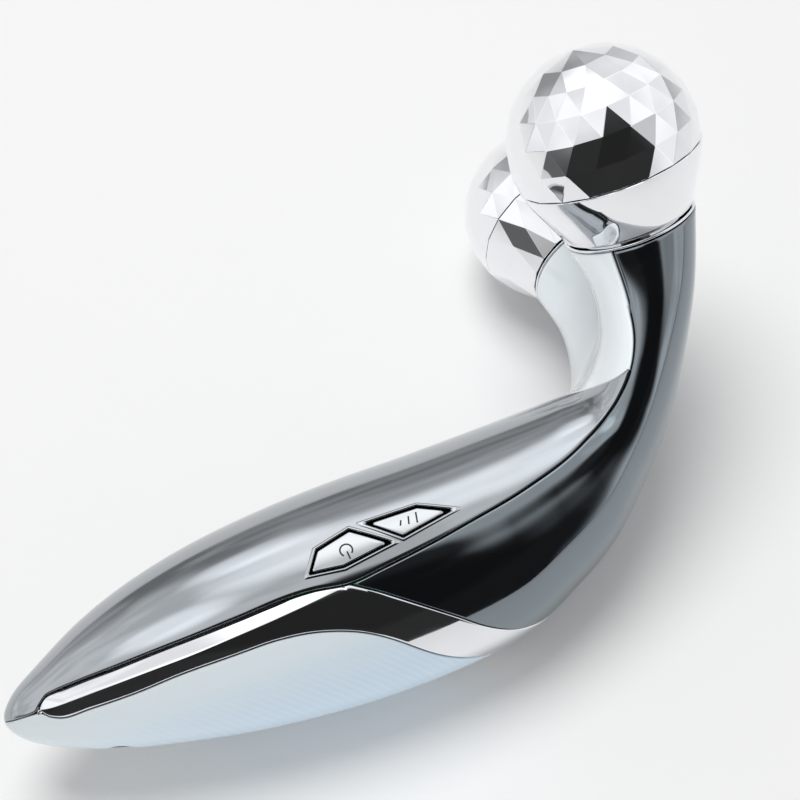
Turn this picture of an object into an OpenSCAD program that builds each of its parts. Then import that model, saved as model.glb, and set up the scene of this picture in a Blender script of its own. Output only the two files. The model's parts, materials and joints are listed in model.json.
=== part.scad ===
// Facial toning device: a leaf-shaped handle that bends into a fork with two
// faceted rolling balls. It lies on its far ball and its far flank, as on a table.
//
// Device frame: x runs from the tail to the head, y to the far flank, and z from
// the keel to the ridge. The device is mirrored about y = 0, but for the buttons,
// which sit on the right flank (-y). lay_down() turns that frame onto the table.

/* [Handle] */
// Length from the tail to the corner under the fork
handle_length = 134; // [125:1:145]
// Width across the two flanks
handle_width = 42; // [39:0.5:46]
// Height of the ridge above the middle line
ridge_height = 23.8; // [22.5:0.1:26]
// Depth of the keel below the middle line
keel_depth = 22; // [20.5:0.1:24]
// Wall of the covers and shells
shell_wall = 1.8; // [1.4:0.1:2.2]
// Gap between two neighbouring panels
shut_line = 0.3; // [0.2:0.05:0.5]
// How far the crease of the bright bands stands out
crease_lift = 0.7; // [0.3:0.1:1]

/* [Fork and balls] */
// Diameter of each ball
ball_d = 40; // [37:0.5:42]
// Distance between the two ball centres
ball_spacing = 55; // [53:0.5:60]
// Distance of the ball centres ahead of the corner under the fork
ball_ahead = 17.4; // [15:0.1:21]
// Height of the ball centres above that corner
ball_above = 44.7; // [42:0.1:48]
// Outward tilt of each ball's axis
ball_tilt = 28.5; // [26:0.5:31]
// Backward lean of both axes
axis_lean = 6.7; // [4:0.1:9]
// Distance from a ball's centre down to the end of its arm
neck_drop = 18.6; // [18:0.1:20]
// Diameter of the arm's end
neck_d = 28.2; // [26:0.2:30]
// Wall of the ball's dome and cup
ball_wall = 1.6; // [1.2:0.1:2]
// Height of the seam below the ball's centre
seam_drop = 4.4; // [3:0.1:6]
// Facets around the ball
facet_count = 20; // [16:2:24]
// Gap between the cup and the arm's end ring
cup_gap = 0.5; // [0.4:0.1:0.8]
// Thickness of the arm's end ring where it shows
ring_lip = 0.7; // [0.5:0.1:1]

/* [Ball bearings] */
// Diameter of the axle
axle_d = 4; // [3:0.5:5]
// Length of axle held in the arm
axle_grip = 12; // [10:1:14]
// Outer diameter of a bearing
bearing_d = 8; // [7.5:0.5:10]
// Width of a bearing
bearing_width = 3; // [2.5:0.5:3.5]
// Distance between the two bearings
bearing_span = 15.8; // [13:0.1:17]
// Wall of the hub's sleeve
hub_wall = 1.8; // [1.5:0.1:2.5]
// Radial clearance of the axle in its bearings
running_fit = 0.04; // [0.02:0.01:0.08]
// Radial clearance of a seated bearing or pin
seat_fit = 0.01; // [0.01:0.01:0.03]

/* [Buttons] */
// Travel of each button
button_travel = 0.6; // [0.4:0.1:0.8]
// Gap between a button and its opening
button_gap = 0.5; // [0.3:0.1:0.7]
// Thickness of a button's cap
cap_thickness = 2; // [1.6:0.1:2.4]
// Station of the buttons' centre along the handle
button_station = 7.13; // [6.9:0.01:7.3]
// Angle of the buttons' centre down from the ridge
button_angle = 71; // [70:0.5:72]
// Slope of the buttons' faces towards the ridge
button_slope = 18; // [16:0.5:20]

/* [Electronics] */
// Diameter of the battery cell
battery_d = 14.2; // [12:0.1:15]
// Length of the battery cell
battery_length = 50; // [44:1:51]
// Thickness of the circuit board
board_t = 1.2; // [0.8:0.1:1.6]
// Length of the circuit board
board_length = 42; // [38:1:44]
// Width of the circuit board
board_width = 15; // [13:0.5:16]
// Width of a switch body
switch_width = 6; // [4.5:0.5:6.5]
// Height of a switch body
switch_height = 1.9; // [1.5:0.1:2.2]
// Thickness of the button mat
mat_t = 0.7; // [0.5:0.1:0.9]

/* [Motor] */
// Diameter of the motor's can
motor_d = 10; // [8:0.5:10.5]
// Length of the motor's can
motor_length = 18; // [15:0.5:19]
// Diameter of the motor's shaft
motor_shaft_d = 2; // [1.5:0.1:2.5]
// Length of the eccentric weight
weight_length = 6; // [4:0.5:6.5]

/* [Charging socket] */
// Bore that takes the charging pin
socket_bore_d = 2.56; // [2.5:0.02:2.7]
// Depth of the charging bore
socket_bore_depth = 7; // [6:0.5:8]
// Outer diameter of the socket's body
socket_d = 6.2; // [5.6:0.1:6.6]
// Station of the socket along the keel
socket_station = 3; // [2.8:0.05:3.2]

/* [Frame and screws] */
// Thickness of the frame's plate
plate_t = 1.5; // [1.2:0.1:2]
// Height of the plate's underside above the middle line
plate_z = 2; // [1.8:0.1:2.4]
// Clearance between the frame and the shells
frame_gap = 0.6; // [0.4:0.1:1]
// Thickness of the fork core's web
web_t = 8; // [6:0.5:9]
// Diameter of the bosses that hold the axles
boss_d = 11; // [9:0.5:12]
// Diameter of a case screw
screw_d = 2.5; // [2:0.1:3]
// Length of a case screw under its head
screw_length = 9; // [7:0.5:11]

/* [Resting pose] */
// Turn of the right ball on its axle
right_ball_turn = -1.7; // [-9:0.1:9]
// Turn of the left ball on its axle
left_ball_turn = 2.5; // [-9:0.1:9]
// Roll of the handle, towards its keel, when the device lies on its left side
rest_roll = 23; // [20:0.5:26]

/* [Hidden] */

RIGHT = -1;
LEFT = 1;
ball_r = ball_d / 2;
neck_r = neck_d / 2;
half_width = handle_width / 2;
gunmetal = [0.36, 0.38, 0.41];
bright = [0.82, 0.84, 0.86];
ice_white = [0.86, 0.91, 0.95];
steel = [0.62, 0.63, 0.65];
nylon = [0.16, 0.17, 0.19];

// ---- The ball's axis and the end of the arm -------------------------------
// Where the ridge of the handle meets the fork
corner = [handle_length, ridge_height];
ball_reach = corner[0] + ball_ahead;
ball_rise = corner[1] + ball_above;
axis_up = [-sin(axis_lean), cos(axis_lean)];
ring_y = ball_spacing / 2 - neck_drop * sin(ball_tilt);
ring_mid = [ball_reach, ball_rise] - neck_drop * cos(ball_tilt) * axis_up;
ring_front = ring_mid + neck_r * [-cos(axis_lean), -sin(axis_lean)];
ring_back = ring_mid - neck_r * [-cos(axis_lean), -sin(axis_lean)];

// ---- The body's sections ---------------------------------------------------
// Handle: shares of its length, ridge height, keel depth and half width
HANDLE = [
    [0, 0, 0, 0], [0.022, 0.19, 0.22, 0.22], [0.075, 0.37, 0.41, 0.42],
    [0.15, 0.585, 0.585, 0.6], [0.24, 0.765, 0.73, 0.757], [0.345, 0.895, 0.865, 0.886],
    [0.463, 0.97, 0.96, 0.97], [0.582, 1, 1, 1], [0.7, 1, 0.98, 1], [0.8, 1.01, 0.89, 0.98],
];
// Crook: front x and z and back x and z from the corner under the fork, then the
// shares of the way to the arm's end in width, spread and tilt, and the fillet
CROOK = [
    [-16, 0.4, -15, -38.4, 0.16, 0.03, 0.07, 7], [-7, 0.5, -4, -32, 0.35, 0.115, 0.21, 7],
    [0, 0.8, 5.5, -23.2, 0.55, 0.245, 0.39, 7], [4, 4.2, 14, -13.3, 0.74, 0.435, 0.6, 7],
    [7, 10.2, 21, -1.8, 0.88, 0.645, 0.77, 6], [7.6, 18.7, 28, 13.2, 0.97, 0.845, 0.91, 3],
];
// Each section: middle x and z, half depth x and z, half width, spread, tilt, fillet
function from_ends(front, back, rest) =
    concat((front + back) / 2, (front - back) / 2, rest);
SECTIONS = concat(
    [for (h = HANDLE) from_ends(
        [h[0] * handle_length, h[1] * ridge_height],
        [h[0] * handle_length, -h[2] * keel_depth],
        [h[3] * half_width, 0, 0, 7])],
    [for (c = CROOK) from_ends(
        corner + [c[0], c[1]], corner + [c[2], c[3]],
        [half_width + c[4] * (neck_r - half_width), c[5] * ring_y, c[6] * ball_tilt, c[7]])],
    [from_ends(ring_front, ring_back, [neck_r, ring_y, ball_tilt, 0.01])]);
last = len(SECTIONS) - 1;
// The section before the tail is the first one turned over, so the tail is round
before_tail = [for (k = [0:7]) SECTIONS[1][k] * (k == 2 || k == 3 || k == 4 ? -1 : 1)];
after_head = 2 * SECTIONS[last] - SECTIONS[last - 1];
function row(i) = i < 0 ? before_tail : i > last ? after_head : SECTIONS[i];
function section(t) =
    let (i = min(floor(t), last - 1), u = t - i,
         a = row(i - 1), b = row(i), c = row(i + 1), d = row(i + 2))
    0.5 * (2 * b + (c - a) * u + (2 * a - 5 * b + 4 * c - d) * u * u
           + (3 * b - a - 3 * c + d) * u * u * u);

// A point of the body's skin: t is the station, phi the angle from the ridge
// (0) over the flank (90) to the keel (180), and inset the depth under the skin.
// Between the arms a fillet of half width k joins the two sides in one saddle.
free_from = 13;
free_over = 2.5;
function ease(u) = let (v = min(1, max(0, u))) v * v * (3 - 2 * v);
function skin(t, phi, side = LEFT, inset = 0) =
    let (s = section(t),
         depth = max(norm([s[2], s[3]]), 0.01),
         out = [s[2], s[3]] / depth,
         along = [out[1], -out[0]],
         b = max(depth - inset, 0.05),
         a = max(s[4] - inset, 0.05),
         mid = s[5] / cos(s[6]),
         k = max(min(s[7], a / 2), 0.01),
         apart = mid - a >= k,
         at_k = apart ? 0 : min(0.999, (k - mid) / a),
         rise_k = b * sqrt(1 - at_k * at_k),
         slope_k = apart ? 0 : -b * at_k / (a * sqrt(1 - at_k * at_k)),
         inner = apart ? mid - a
             : slope_k > 0 ? sqrt(max(0, k * k - 2 * k * rise_k / slope_k)) : 0,
         outer = mid + a,
         turn = phi <= 90 ? phi : 180 - phi,
         w = ease((t - free_from) / free_over),
         l = (1 - w) * (inner + (outer - inner) * sin(turn))
             + w * ((inner + outer) / 2 - (outer - inner) / 2 * cos(2 * turn)),
         d = l < k && !apart ? rise_k - (k * k - l * l) / (2 * k) * slope_k
             : b * sqrt(max(0, 1 - pow((l - mid) / a, 2))),
         p = [s[0], s[1]] + out * (phi <= 90 ? d : -d)
             - along * sin(s[6]) * (norm([l, k]) - norm([mid, k])))
    [p[0], side * cos(s[6]) * l, p[1]];
function half_depth(t) = let (s = section(t)) norm([s[2], s[3]]);

// ---- Seams: station and angle from the ridge -------------------------------
TOP_SEAM = [
    [0, 95], [1.55, 94.5], [1.75, 85], [1.95, 77.5], [2.2, 77.5], [2.7, 81], [3.4, 84.5],
    [4.4, 86], [5.2, 85.4], [5.8, 84.3], [6.2, 85.2], [6.65, 88], [7.1, 86.4], [7.9, 82.6],
    [8.6, 79.6], [9.4, 78], [10.3, 77], [11.3, 74.3], [12, 73.1], [12.6, 75], [13.5, 77.3],
    [14.2, 76.4], [15, 71.6], [15.5, 69.8], [16, 69],
];
LOW_SEAM = [
    [0, 95], [1.55, 94.5], [1.75, 98], [1.9, 105.5], [2.2, 111.4], [2.7, 109.7], [3.6, 108],
    [4.3, 105.2], [5.1, 103.8], [5.6, 103.3], [6.1, 106], [6.6, 113.3], [7, 124.5],
    [7.5, 145], [8, 164.5], [8.45, 180],
];
ARM_SEAM = [
    [6.65, 88], [6.8, 92], [7, 97.5], [7.4, 110], [7.8, 123.5], [8.1, 135], [8.4, 145.5],
    [8.65, 153.5], [9, 163.5], [9.6, 180],
];
CREASE = [[1.7, 91], [2, 94], [3, 95.8], [4.3, 96], [5.2, 93.7], [6, 91], [6.65, 88.4]];
band_start = 1.85;
band_join = 6.65;
band_end = 9.55;
horn_station = 13.5;
horn_angle = 77.3;
saddle_station = 11.3;
saddle_power = 1.45;

// Smooth curve through a seam's points
function seam_slope(s, i) =
    let (a = s[max(i - 1, 0)], b = s[min(i + 1, len(s) - 1)]) (b[1] - a[1]) / (b[0] - a[0]);
function seam(s, t, i = 0) =
    i < len(s) - 2 && t > s[i + 1][0] ? seam(s, t, i + 1)
    : let (h = s[i + 1][0] - s[i][0], u = min(1, max(0, (t - s[i][0]) / h)), v = 1 - u)
      s[i][1] * v * v * (1 + 2 * u) + s[i + 1][1] * u * u * (1 + 2 * v)
      + h * u * v * (seam_slope(s, i) * v - seam_slope(s, i + 1) * u);
function gap_angle(t) = shut_line / 2 / half_depth(t) * 180 / PI;
function top_edge(t) = seam(TOP_SEAM, t);
function low_edge(t) = t >= 8.45 ? 180 : seam(LOW_SEAM, t);
function arm_edge(t) = t >= 9.6 ? 180 : seam(ARM_SEAM, t);
// The top cover ends in two horns round the foot of the fork panel
function saddle_edge(phi) = saddle_station
    + (horn_station - saddle_station) * pow(min(1, phi / horn_angle), saddle_power);
station_gap = shut_line / 15;

// ---- Panels ----------------------------------------------------------------
// A closed sheet between an outer and an inner grid of points
module panel(outer, inner) {
    n = len(outer) - 1;
    m = len(outer[0]) - 1;
    w = m + 1;
    under = (n + 1) * w;
    quads = concat(
        [for (i = [0:n - 1], j = [0:m - 1])
            [i * w + j, i * w + j + 1, (i + 1) * w + j + 1, (i + 1) * w + j]],
        [for (i = [0:n - 1], j = [0:m - 1])
            [under + i * w + j, under + (i + 1) * w + j,
             under + (i + 1) * w + j + 1, under + i * w + j + 1]],
        [for (j = [0:m - 1]) [j + 1, j, under + j, under + j + 1]],
        [for (j = [0:m - 1]) [n * w + j, n * w + j + 1, under + n * w + j + 1, under + n * w + j]],
        [for (i = [0:n - 1])
            [(i + 1) * w + m, i * w + m, under + i * w + m, under + (i + 1) * w + m]],
        [for (i = [0:n - 1]) [i * w, (i + 1) * w, under + (i + 1) * w, under + i * w]]);
    polyhedron(
        points = concat([for (r = outer) each r], [for (r = inner) each r]),
        faces = [for (q = quads) each [[q[0], q[1], q[2]], [q[0], q[2], q[3]]]],
        convexity = 8);
}
function sign_of(v) = v < 0 ? -1 : 1;
function steps(n) = [for (i = [0:n]) i / n];
function sides(n) = [for (j = [-n:n]) j / n];

nose = 0.06;
nose_inside = 0.75;
tail_power = 1.3;
// Stations of one panel column, closer together near the tail
function column(u, from, to) = from + (to - from) * pow(u, tail_power);

module on_side(side) {
    mirror([0, side == LEFT ? 0 : 1, 0])
        children();
}

module top_panel() {
    function grid(from, inset) = [for (u = steps(44)) [for (v = sides(8))
        let (t = column(u, from, saddle_edge(abs(v) * horn_angle) - station_gap),
             phi = abs(v) * (top_edge(t) - gap_angle(max(t, 0.3))))
        skin(t, phi, sign_of(v), inset)]];
    panel(grid(nose, 0), grid(nose_inside, shell_wall));
}

module grip_panel() {
    function grid(from, inset) = [for (u = steps(40)) [for (v = sides(7))
        let (t = column(u, from, 8.35),
             phi = 180 - abs(v) * (180 - low_edge(t) - gap_angle(max(t, 0.3))))
        skin(t, phi, -sign_of(v), inset)]];
    panel(grid(nose, 0), grid(nose_inside, shell_wall));
}

// The bright band has a sharp crease until it meets the arm cover. Its nose is blunt.
nose_gap = 5;
module band_panel() {
    function grid(inset) = [for (u = steps(40)) [for (j = [0:6])
        let (t = band_start + (band_end - band_start) * u,
             blunt = nose_gap * (1 - ease((t - band_start) / 0.8)),
             high = (t < band_join ? top_edge(t) : arm_edge(t)) + gap_angle(t) + blunt,
             low = min(low_edge(t), 180) - (t < 8.45 ? gap_angle(t) : 0.2) - blunt,
             fade = ease((band_join + 0.3 - t) / 1.2) * ease((t - band_start) / 0.8),
             crest = high + (low - high) * 0.5
                 + fade * (seam(CREASE, t) - high - (low - high) * 0.5),
             phi = j < 3 ? high + (crest - high) * j / 3 : crest + (low - crest) * (j - 3) / 3,
             lift = crease_lift * fade * (j < 3 ? 2 * j / 3 - 1 : 1 - 1.4 * (j - 3) / 3))
        skin(t, phi, LEFT, inset > 0 ? inset : -lift)]];
    panel(grid(0), grid(shell_wall));
}

module arm_panel() {
    function grid(inset) = [for (u = steps(30)) [for (v = steps(9))
        let (t = band_join + 0.06 + (last - band_join - 0.08) * u,
             high = top_edge(t) + gap_angle(t),
             low = arm_edge(t) - (t < 9.6 ? gap_angle(t) : 0.2),
             phi = high + (low - high) * v)
        skin(t, phi, LEFT, inset)]];
    panel(grid(0), grid(shell_wall));
}

// Half of the fork panel. It reaches over the middle by half of weld, to join the other.
weld = 0.8;
module fork_half() {
    function grid(inset) = [for (u = steps(20)) [for (v = steps(8))
        let (t0 = saddle_edge(v * horn_angle) + station_gap,
             t = t0 + (last - 0.02 - t0) * u,
             phi = v * (top_edge(t) - gap_angle(t)),
             p = skin(t, phi, LEFT, inset))
        p[1] > 0 ? p : p - [0, weld / 2, 0]]];
    panel(grid(0), grid(shell_wall));
}

// ---- Placing ---------------------------------------------------------------
module at_ball(side) {
    translate([ball_reach, side * ball_spacing / 2, ball_rise])
        rotate([-side * ball_tilt, -axis_lean, 0])
            children();
}

// Frame of the buttons: x along the handle, y to the ridge, z out of the flank
button_middle = skin(button_station, button_angle, RIGHT);
module at_buttons() {
    translate(button_middle)
        rotate([90 - button_slope, 0, 0])
            children();
}

socket_mouth = skin(socket_station, 180);
socket_heel = skin(socket_station + 0.2, 180);
socket_slope = atan2(socket_mouth[2] - socket_heel[2], socket_heel[0] - socket_mouth[0]);
module at_socket() {
    translate(socket_mouth)
        rotate([0, socket_slope, 0])
            children();
}

module rod(from, to, d) {
    v = to - from;
    translate(from)
        rotate([0, acos(v[2] / norm(v)), atan2(v[1], v[0])])
            cylinder(h = norm(v), d = d, $fn = 48);
}

module disc(r, low, high) {
    translate([0, 0, low])
        cylinder(h = high - low, r = r, $fn = 64);
}

// ---- Buttons ---------------------------------------------------------------
POWER_OUTLINE = [[-14.6, -2.3], [-11.5, 2.2], [-3.8, 4], [3.5, -2], [-7.4, -3.4]];
MODE_OUTLINE = [[-0.8, 4.1], [10.6, 3.8], [17.3, 0.2], [5.6, -1.8]];
POWER_PRESS = [-6, 0.3];
MODE_PRESS = [8, 1.2];
corner_r = 0.7;
flange_top = 2.9;
flange_t = 0.6;
stem_d = 3.2;
mat_top = flange_top + flange_t + button_travel + 0.2;
plunger_h = 0.4;
board_top = mat_top + mat_t + plunger_h + switch_height;
back_top = board_top + board_t + 0.05;
back_t = 1.6;
board_left = 1 - board_length / 2;
board_low = -board_width / 2 - 0.5;

module button_outline(points, grow) {
    offset(r = corner_r)
        offset(delta = grow - corner_r)
            polygon(points);
}

module button_cap(points, press) {
    cap_skin(points);
    at_buttons() {
        translate([0, 0, -flange_top - flange_t])
            linear_extrude(flange_t)
                button_outline(points, 0.4);
        translate([press[0], press[1], -flange_top - flange_t - 0.1])
            cylinder(h = flange_top + flange_t - cap_thickness + 0.6, d = stem_d, $fn = 32);
    }
}

// The cap follows the flank: a slab of the skin cut by the button's outline
module cap_skin(points) {
    intersection() {
        panel(
            [for (t = [5.8:0.15:8.65]) [for (phi = [84:-2:56]) skin(t, phi, RIGHT, 0.05)]],
            [for (t = [5.8:0.15:8.65]) [for (phi = [84:-2:56]) skin(t, phi, RIGHT, cap_thickness)]]);
        at_buttons()
            translate([0, 0, -8])
                linear_extrude(12)
                    button_outline(points, -button_gap);
    }
}

module button_openings() {
    at_buttons()
        for (points = [POWER_OUTLINE, MODE_OUTLINE])
            translate([0, 0, -8])
                linear_extrude(12)
                    button_outline(points, 0);
}

module switch_body(press) {
    translate([press[0] - switch_width / 2, press[1] - switch_width / 2, -board_top])
        cube([switch_width, switch_width, switch_height]);
    translate([press[0], press[1], -board_top + switch_height])
        cylinder(h = plunger_h, d = 3, $fn = 32);
}

// ---- Frame, battery and motor ---------------------------------------------
post_d = 6;
battery_start = 0.254 * handle_length;
battery_end = battery_start + battery_length;
battery_y = 2;
battery_z = plate_z - 0.9 - battery_d / 2;
motor_y = 5;
motor_z = plate_z + plate_t + 0.1 + motor_d / 2;
motor_start = handle_length - 40;
motor_end = motor_start + motor_length;
plate_end = motor_end + 1;
// The front post keeps clear of the motor above it
CASE_POSTS = [[battery_start - post_d / 2 - 1, 0], [battery_end + post_d / 2 + 1.7, -3.6]];
CORE_SCREWS = [[motor_start + 8, -6.5], [motor_start + 15, -6.5]];
core_pad_t = 3;

module along_x(x, y, z, length, d) {
    translate([x, y, z])
        rotate([0, 90, 0])
            cylinder(h = length, d = d, $fn = 64);
}

function plate_edge(t) =
    let (s = section(t)) [s[0], (s[4] - shell_wall - frame_gap) * 0.985];

module cradle(x, low_y, high_y, low_z, high_z) {
    translate([x, low_y, low_z])
        cube([2, high_y - low_y, high_z - low_z]);
}

// ---- Sub-parts -------------------------------------------------------------
module top_cover() {
    color(gunmetal)
        difference() {
            top_panel();
            button_openings();
        }
}

// The posts start inside the wall of the keel
post_sink = shell_wall - 0.2;
module grip_shell() {
    color(ice_white)
        difference() {
            union() {
                grip_panel();
                for (p = CASE_POSTS)
                    translate([p[0], p[1], keel_at(p[0]) + post_sink])
                        cylinder(h = plate_z - keel_at(p[0]) - post_sink, d = post_d, $fn = 48);
            }
            for (p = CASE_POSTS)
                translate([p[0], p[1], plate_z - screw_length])
                    cylinder(h = screw_length + 1, d = screw_d + 0.1, $fn = 32);
            at_socket()
                disc(socket_d / 2 + 0.05, -1, 6);
        }
}
// Height of the keel at a distance from the tail, between two stations
function keel_at(x, t = 2) =
    let (a = skin(t, 180), b = skin(t + 0.5, 180))
    t > 9 || b[0] > x ? a[2] + (b[2] - a[2]) * (x - a[0]) / (b[0] - a[0]) : keel_at(x, t + 0.5);

module band(side) {
    color(bright)
        on_side(side)
            band_panel();
}
module right_band() { band(RIGHT); }
module left_band() { band(LEFT); }

module arm_cover(side) {
    color(gunmetal)
        on_side(side)
            arm_panel();
}
module right_arm_cover() { arm_cover(RIGHT); }
module left_arm_cover() { arm_cover(LEFT); }

module fork_panel() {
    color(ice_white)
        union() {
            fork_half();
            on_side(RIGHT)
                fork_half();
        }
}

ring_spigot = 2;
spigot_gap = 1.2;
module arm_ring(side) {
    color(steel)
        at_ball(side)
            difference() {
                union() {
                    disc(neck_r, -neck_drop, -neck_drop + ring_lip);
                    disc(neck_r - shell_wall - spigot_gap, -neck_drop - ring_spigot, -neck_drop);
                }
                disc(axle_d / 2 + seat_fit, -neck_drop - ring_spigot - 1, -neck_drop + 2);
            }
}
module right_arm_ring() { arm_ring(RIGHT); }
module left_arm_ring() { arm_ring(LEFT); }

module frame_plate() {
    left_edge = [for (i = [0:16]) plate_edge(3.2 + 0.4 * i)];
    color(nylon)
        difference() {
            union() {
                translate([0, 0, plate_z])
                    linear_extrude(plate_t)
                        intersection() {
                            polygon(concat(left_edge,
                                [for (i = [len(left_edge) - 1:-1:0]) [left_edge[i][0], -left_edge[i][1]]]));
                            translate([0, -handle_width])
                                square([plate_end, 2 * handle_width]);
                        }
                at_buttons()
                    translate([board_left, board_low, -back_top - back_t])
                        cube([board_length, board_width, back_t]);
                cradle(battery_start + 3, -8, 12, battery_z - 1, plate_z);
                cradle(battery_end - 6, -9, 13, battery_z - 1, plate_z);
                cradle(motor_start + 2, motor_y - 6, motor_y + 6, plate_z, motor_z);
                cradle(motor_end - 5, motor_y - 6, motor_y + 6, plate_z, motor_z);
            }
            at_buttons()
                translate([board_left - 1, board_low - 1, -back_top])
                    cube([board_length + 2, board_width + 2, back_top]);
            along_x(battery_start - 1, battery_y, battery_z, battery_length + 2, battery_d + 0.2);
            along_x(motor_start - 1, motor_y, motor_z, motor_length + 2, motor_d + 0.1);
            for (p = concat(CASE_POSTS, CORE_SCREWS))
                translate([p[0], p[1], plate_z - 1])
                    cylinder(h = plate_t + 2, d = screw_d + 0.3, $fn = 32);
        }
}

// The web's outline in the middle plane, from under the frame plate to the fork
web_start = motor_start + 4;
WEB = concat(
    [[web_start, plate_z], [plate_end, plate_z]],
    [for (p = [
        [-12, -20.8], [-8, -9.8], [0, -4.3], [6.5, 1.7], [12, 7.7], [18, 6.2], [15.5, -4.3],
        [12, -10.8], [6, -19.3], [-0.5, -25.3], [-10, -31.8], [-22, -36.3], [-36, -35.8]])
        corner + p]);
strut_foot = [corner[0] + 14.2, 0, corner[1] + 3.2];
strut_d = 7.4;
boss_end = neck_drop + ring_spigot + axle_grip;

module fork_core() {
    color(nylon)
        difference() {
            union() {
                translate([0, web_t / 2, 0])
                    rotate([90, 0, 0])
                        linear_extrude(web_t)
                            polygon(WEB);
                translate([web_start, -9, plate_z - core_pad_t])
                    cube([plate_end - web_start, 18, core_pad_t]);
                for (side = [RIGHT, LEFT]) {
                    at_ball(side)
                        disc(boss_d / 2, -boss_end, -neck_drop - ring_spigot - 0.05);
                    rod(strut_foot, on_ball(side, [0, 0, 2 - boss_end]), strut_d);
                }
            }
            for (side = [RIGHT, LEFT])
                at_ball(side)
                    disc(axle_d / 2 + seat_fit, -boss_end - 1, -neck_drop);
            for (p = CORE_SCREWS)
                translate([p[0], p[1], plate_z - core_pad_t - 1])
                    cylinder(h = core_pad_t + 2, d = screw_d + 0.1, $fn = 32);
        }
}

// ---- Balls -----------------------------------------------------------------
cup_low = neck_drop - ring_lip - cup_gap;
floor_top = cup_low - ball_wall;
low_bearing = floor_top;
high_bearing = low_bearing - bearing_width - bearing_span;
hub_r = bearing_d / 2 + hub_wall;
cup_floor_hole = axle_d / 2 + 1.3;
collar_r = axle_d / 2 + 1;

module axle(side) {
    color(steel)
        at_ball(side) {
            disc(axle_d / 2, -boss_end + 1, -high_bearing + bearing_width + 0.4);
            disc(collar_r, -neck_drop + ring_lip, -low_bearing - 0.1);
        }
}
module right_axle() { axle(RIGHT); }
module left_axle() { axle(LEFT); }

// Screw and washer that keep the ball on its axle
module axle_screw(side) {
    top = -high_bearing + bearing_width + 0.4;
    color(steel)
        at_ball(side)
            union() {
                disc(axle_d / 2 + 1.2, top, top + 0.8);
                disc(axle_d / 2 - 0.3, top + 0.8, top + 1.9);
            }
}
module right_axle_screw() { axle_screw(RIGHT); }
module left_axle_screw() { axle_screw(LEFT); }

module bearings(side) {
    color(steel)
        at_ball(side)
            for (low = [-low_bearing, -high_bearing])
                difference() {
                    disc(bearing_d / 2 - seat_fit, low, low + bearing_width);
                    disc(axle_d / 2 + running_fit, low - 1, low + bearing_width + 1);
                }
}
module right_ball_bearings() { bearings(RIGHT); }
module left_ball_bearings() { bearings(LEFT); }

module ball_hub(side) {
    color(nylon)
        at_ball(side)
            difference() {
                union() {
                    disc(hub_r, -floor_top, -high_bearing + bearing_width + 2.6);
                    disc(hub_r + 4, -floor_top, -floor_top + 1.5);
                }
                disc(bearing_d / 2, -floor_top - 1, ball_r);
            }
}
module right_ball_hub() { ball_hub(RIGHT); }
module left_ball_hub() { ball_hub(LEFT); }

// Right cup: the sphere below the seam, then a cone tangent to it down to the neck
reach_low = norm([neck_r, cup_low]);
touch = atan2(cup_low, neck_r) - acos(ball_r / reach_low);
seam_angle = asin(seam_drop / ball_r);
seam_r = ball_r * cos(seam_angle);
lip_r = sqrt(pow(ball_r - ball_wall, 2) - pow(seam_drop, 2)) - 0.15;
lip_t = 0.9;
lip_height = 2.4;
seam_gap = 0.15;
// Inside of a cup, from its floor up to the top of its lip
CUP_WALL = [
    [neck_r - ball_wall - 0.4, -floor_top],
    [ball_r * cos(touch) - ball_wall - 0.2, -ball_r * sin(touch)],
    [lip_r - lip_t, -seam_drop - 1.5 * lip_t],
    [lip_r - lip_t, -seam_drop + lip_height],
];
module right_ball_cup() {
    outer = concat(
        [for (i = [0:4]) let (a = seam_angle + (touch - seam_angle) * i / 4)
            [ball_r * cos(a), -ball_r * sin(a)]],
        [[neck_r + 0.2, -cup_low + 0.4], [neck_r - 0.3, -cup_low]]);
    color(bright)
        at_ball(RIGHT)
            rotate_extrude($fn = 96)
                polygon(concat(
                    [[seam_r, -seam_drop - seam_gap]], [for (i = [1:6]) outer[i]],
                    [[cup_floor_hole, -cup_low], [cup_floor_hole, -floor_top]], CUP_WALL,
                    [[lip_r, -seam_drop + lip_height], [lip_r, -seam_drop - seam_gap]]));
}
module left_ball_cup() {
    color(bright)
        at_ball(LEFT)
            difference() {
                union() {
                    rotate(left_ball_turn)
                        faceted_cup_solid();
                    disc(lip_r, -seam_drop - seam_gap - lip_t, -seam_drop + lip_height);
                }
                rotate_extrude($fn = 96)
                    polygon(concat([[0, -floor_top]], CUP_WALL, [[0, -seam_drop + lip_height]]));
                disc(cup_floor_hole, -cup_low - 1, -floor_top + 1);
            }
}

// Rings of corners joined by triangles. Every other ring is turned by half a facet
function ring(r, z, i, n = facet_count) =
    [for (j = [0:n - 1]) let (lon = (i % 2) * 180 / facet_count + 360 * j / n)
        [r * cos(lon), r * sin(lon), z]];
function net(rings) =
    let (n = facet_count)
    [for (i = [0:rings - 2], j = [0:n - 1])
        let (a = i * n + j, b = i * n + (j + 1) % n, s = i % 2,
             c = (i + 1) * n + (s == 0 ? j : (j + 1) % n),
             d = (i + 1) * n + (s == 0 ? (j + n - 1) % n : j))
        each [[a, c, b], [a, d, c]]];
function low_fan(centre) =
    [for (j = [0:facet_count - 1]) [centre, j, (j + 1) % facet_count]];

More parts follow.
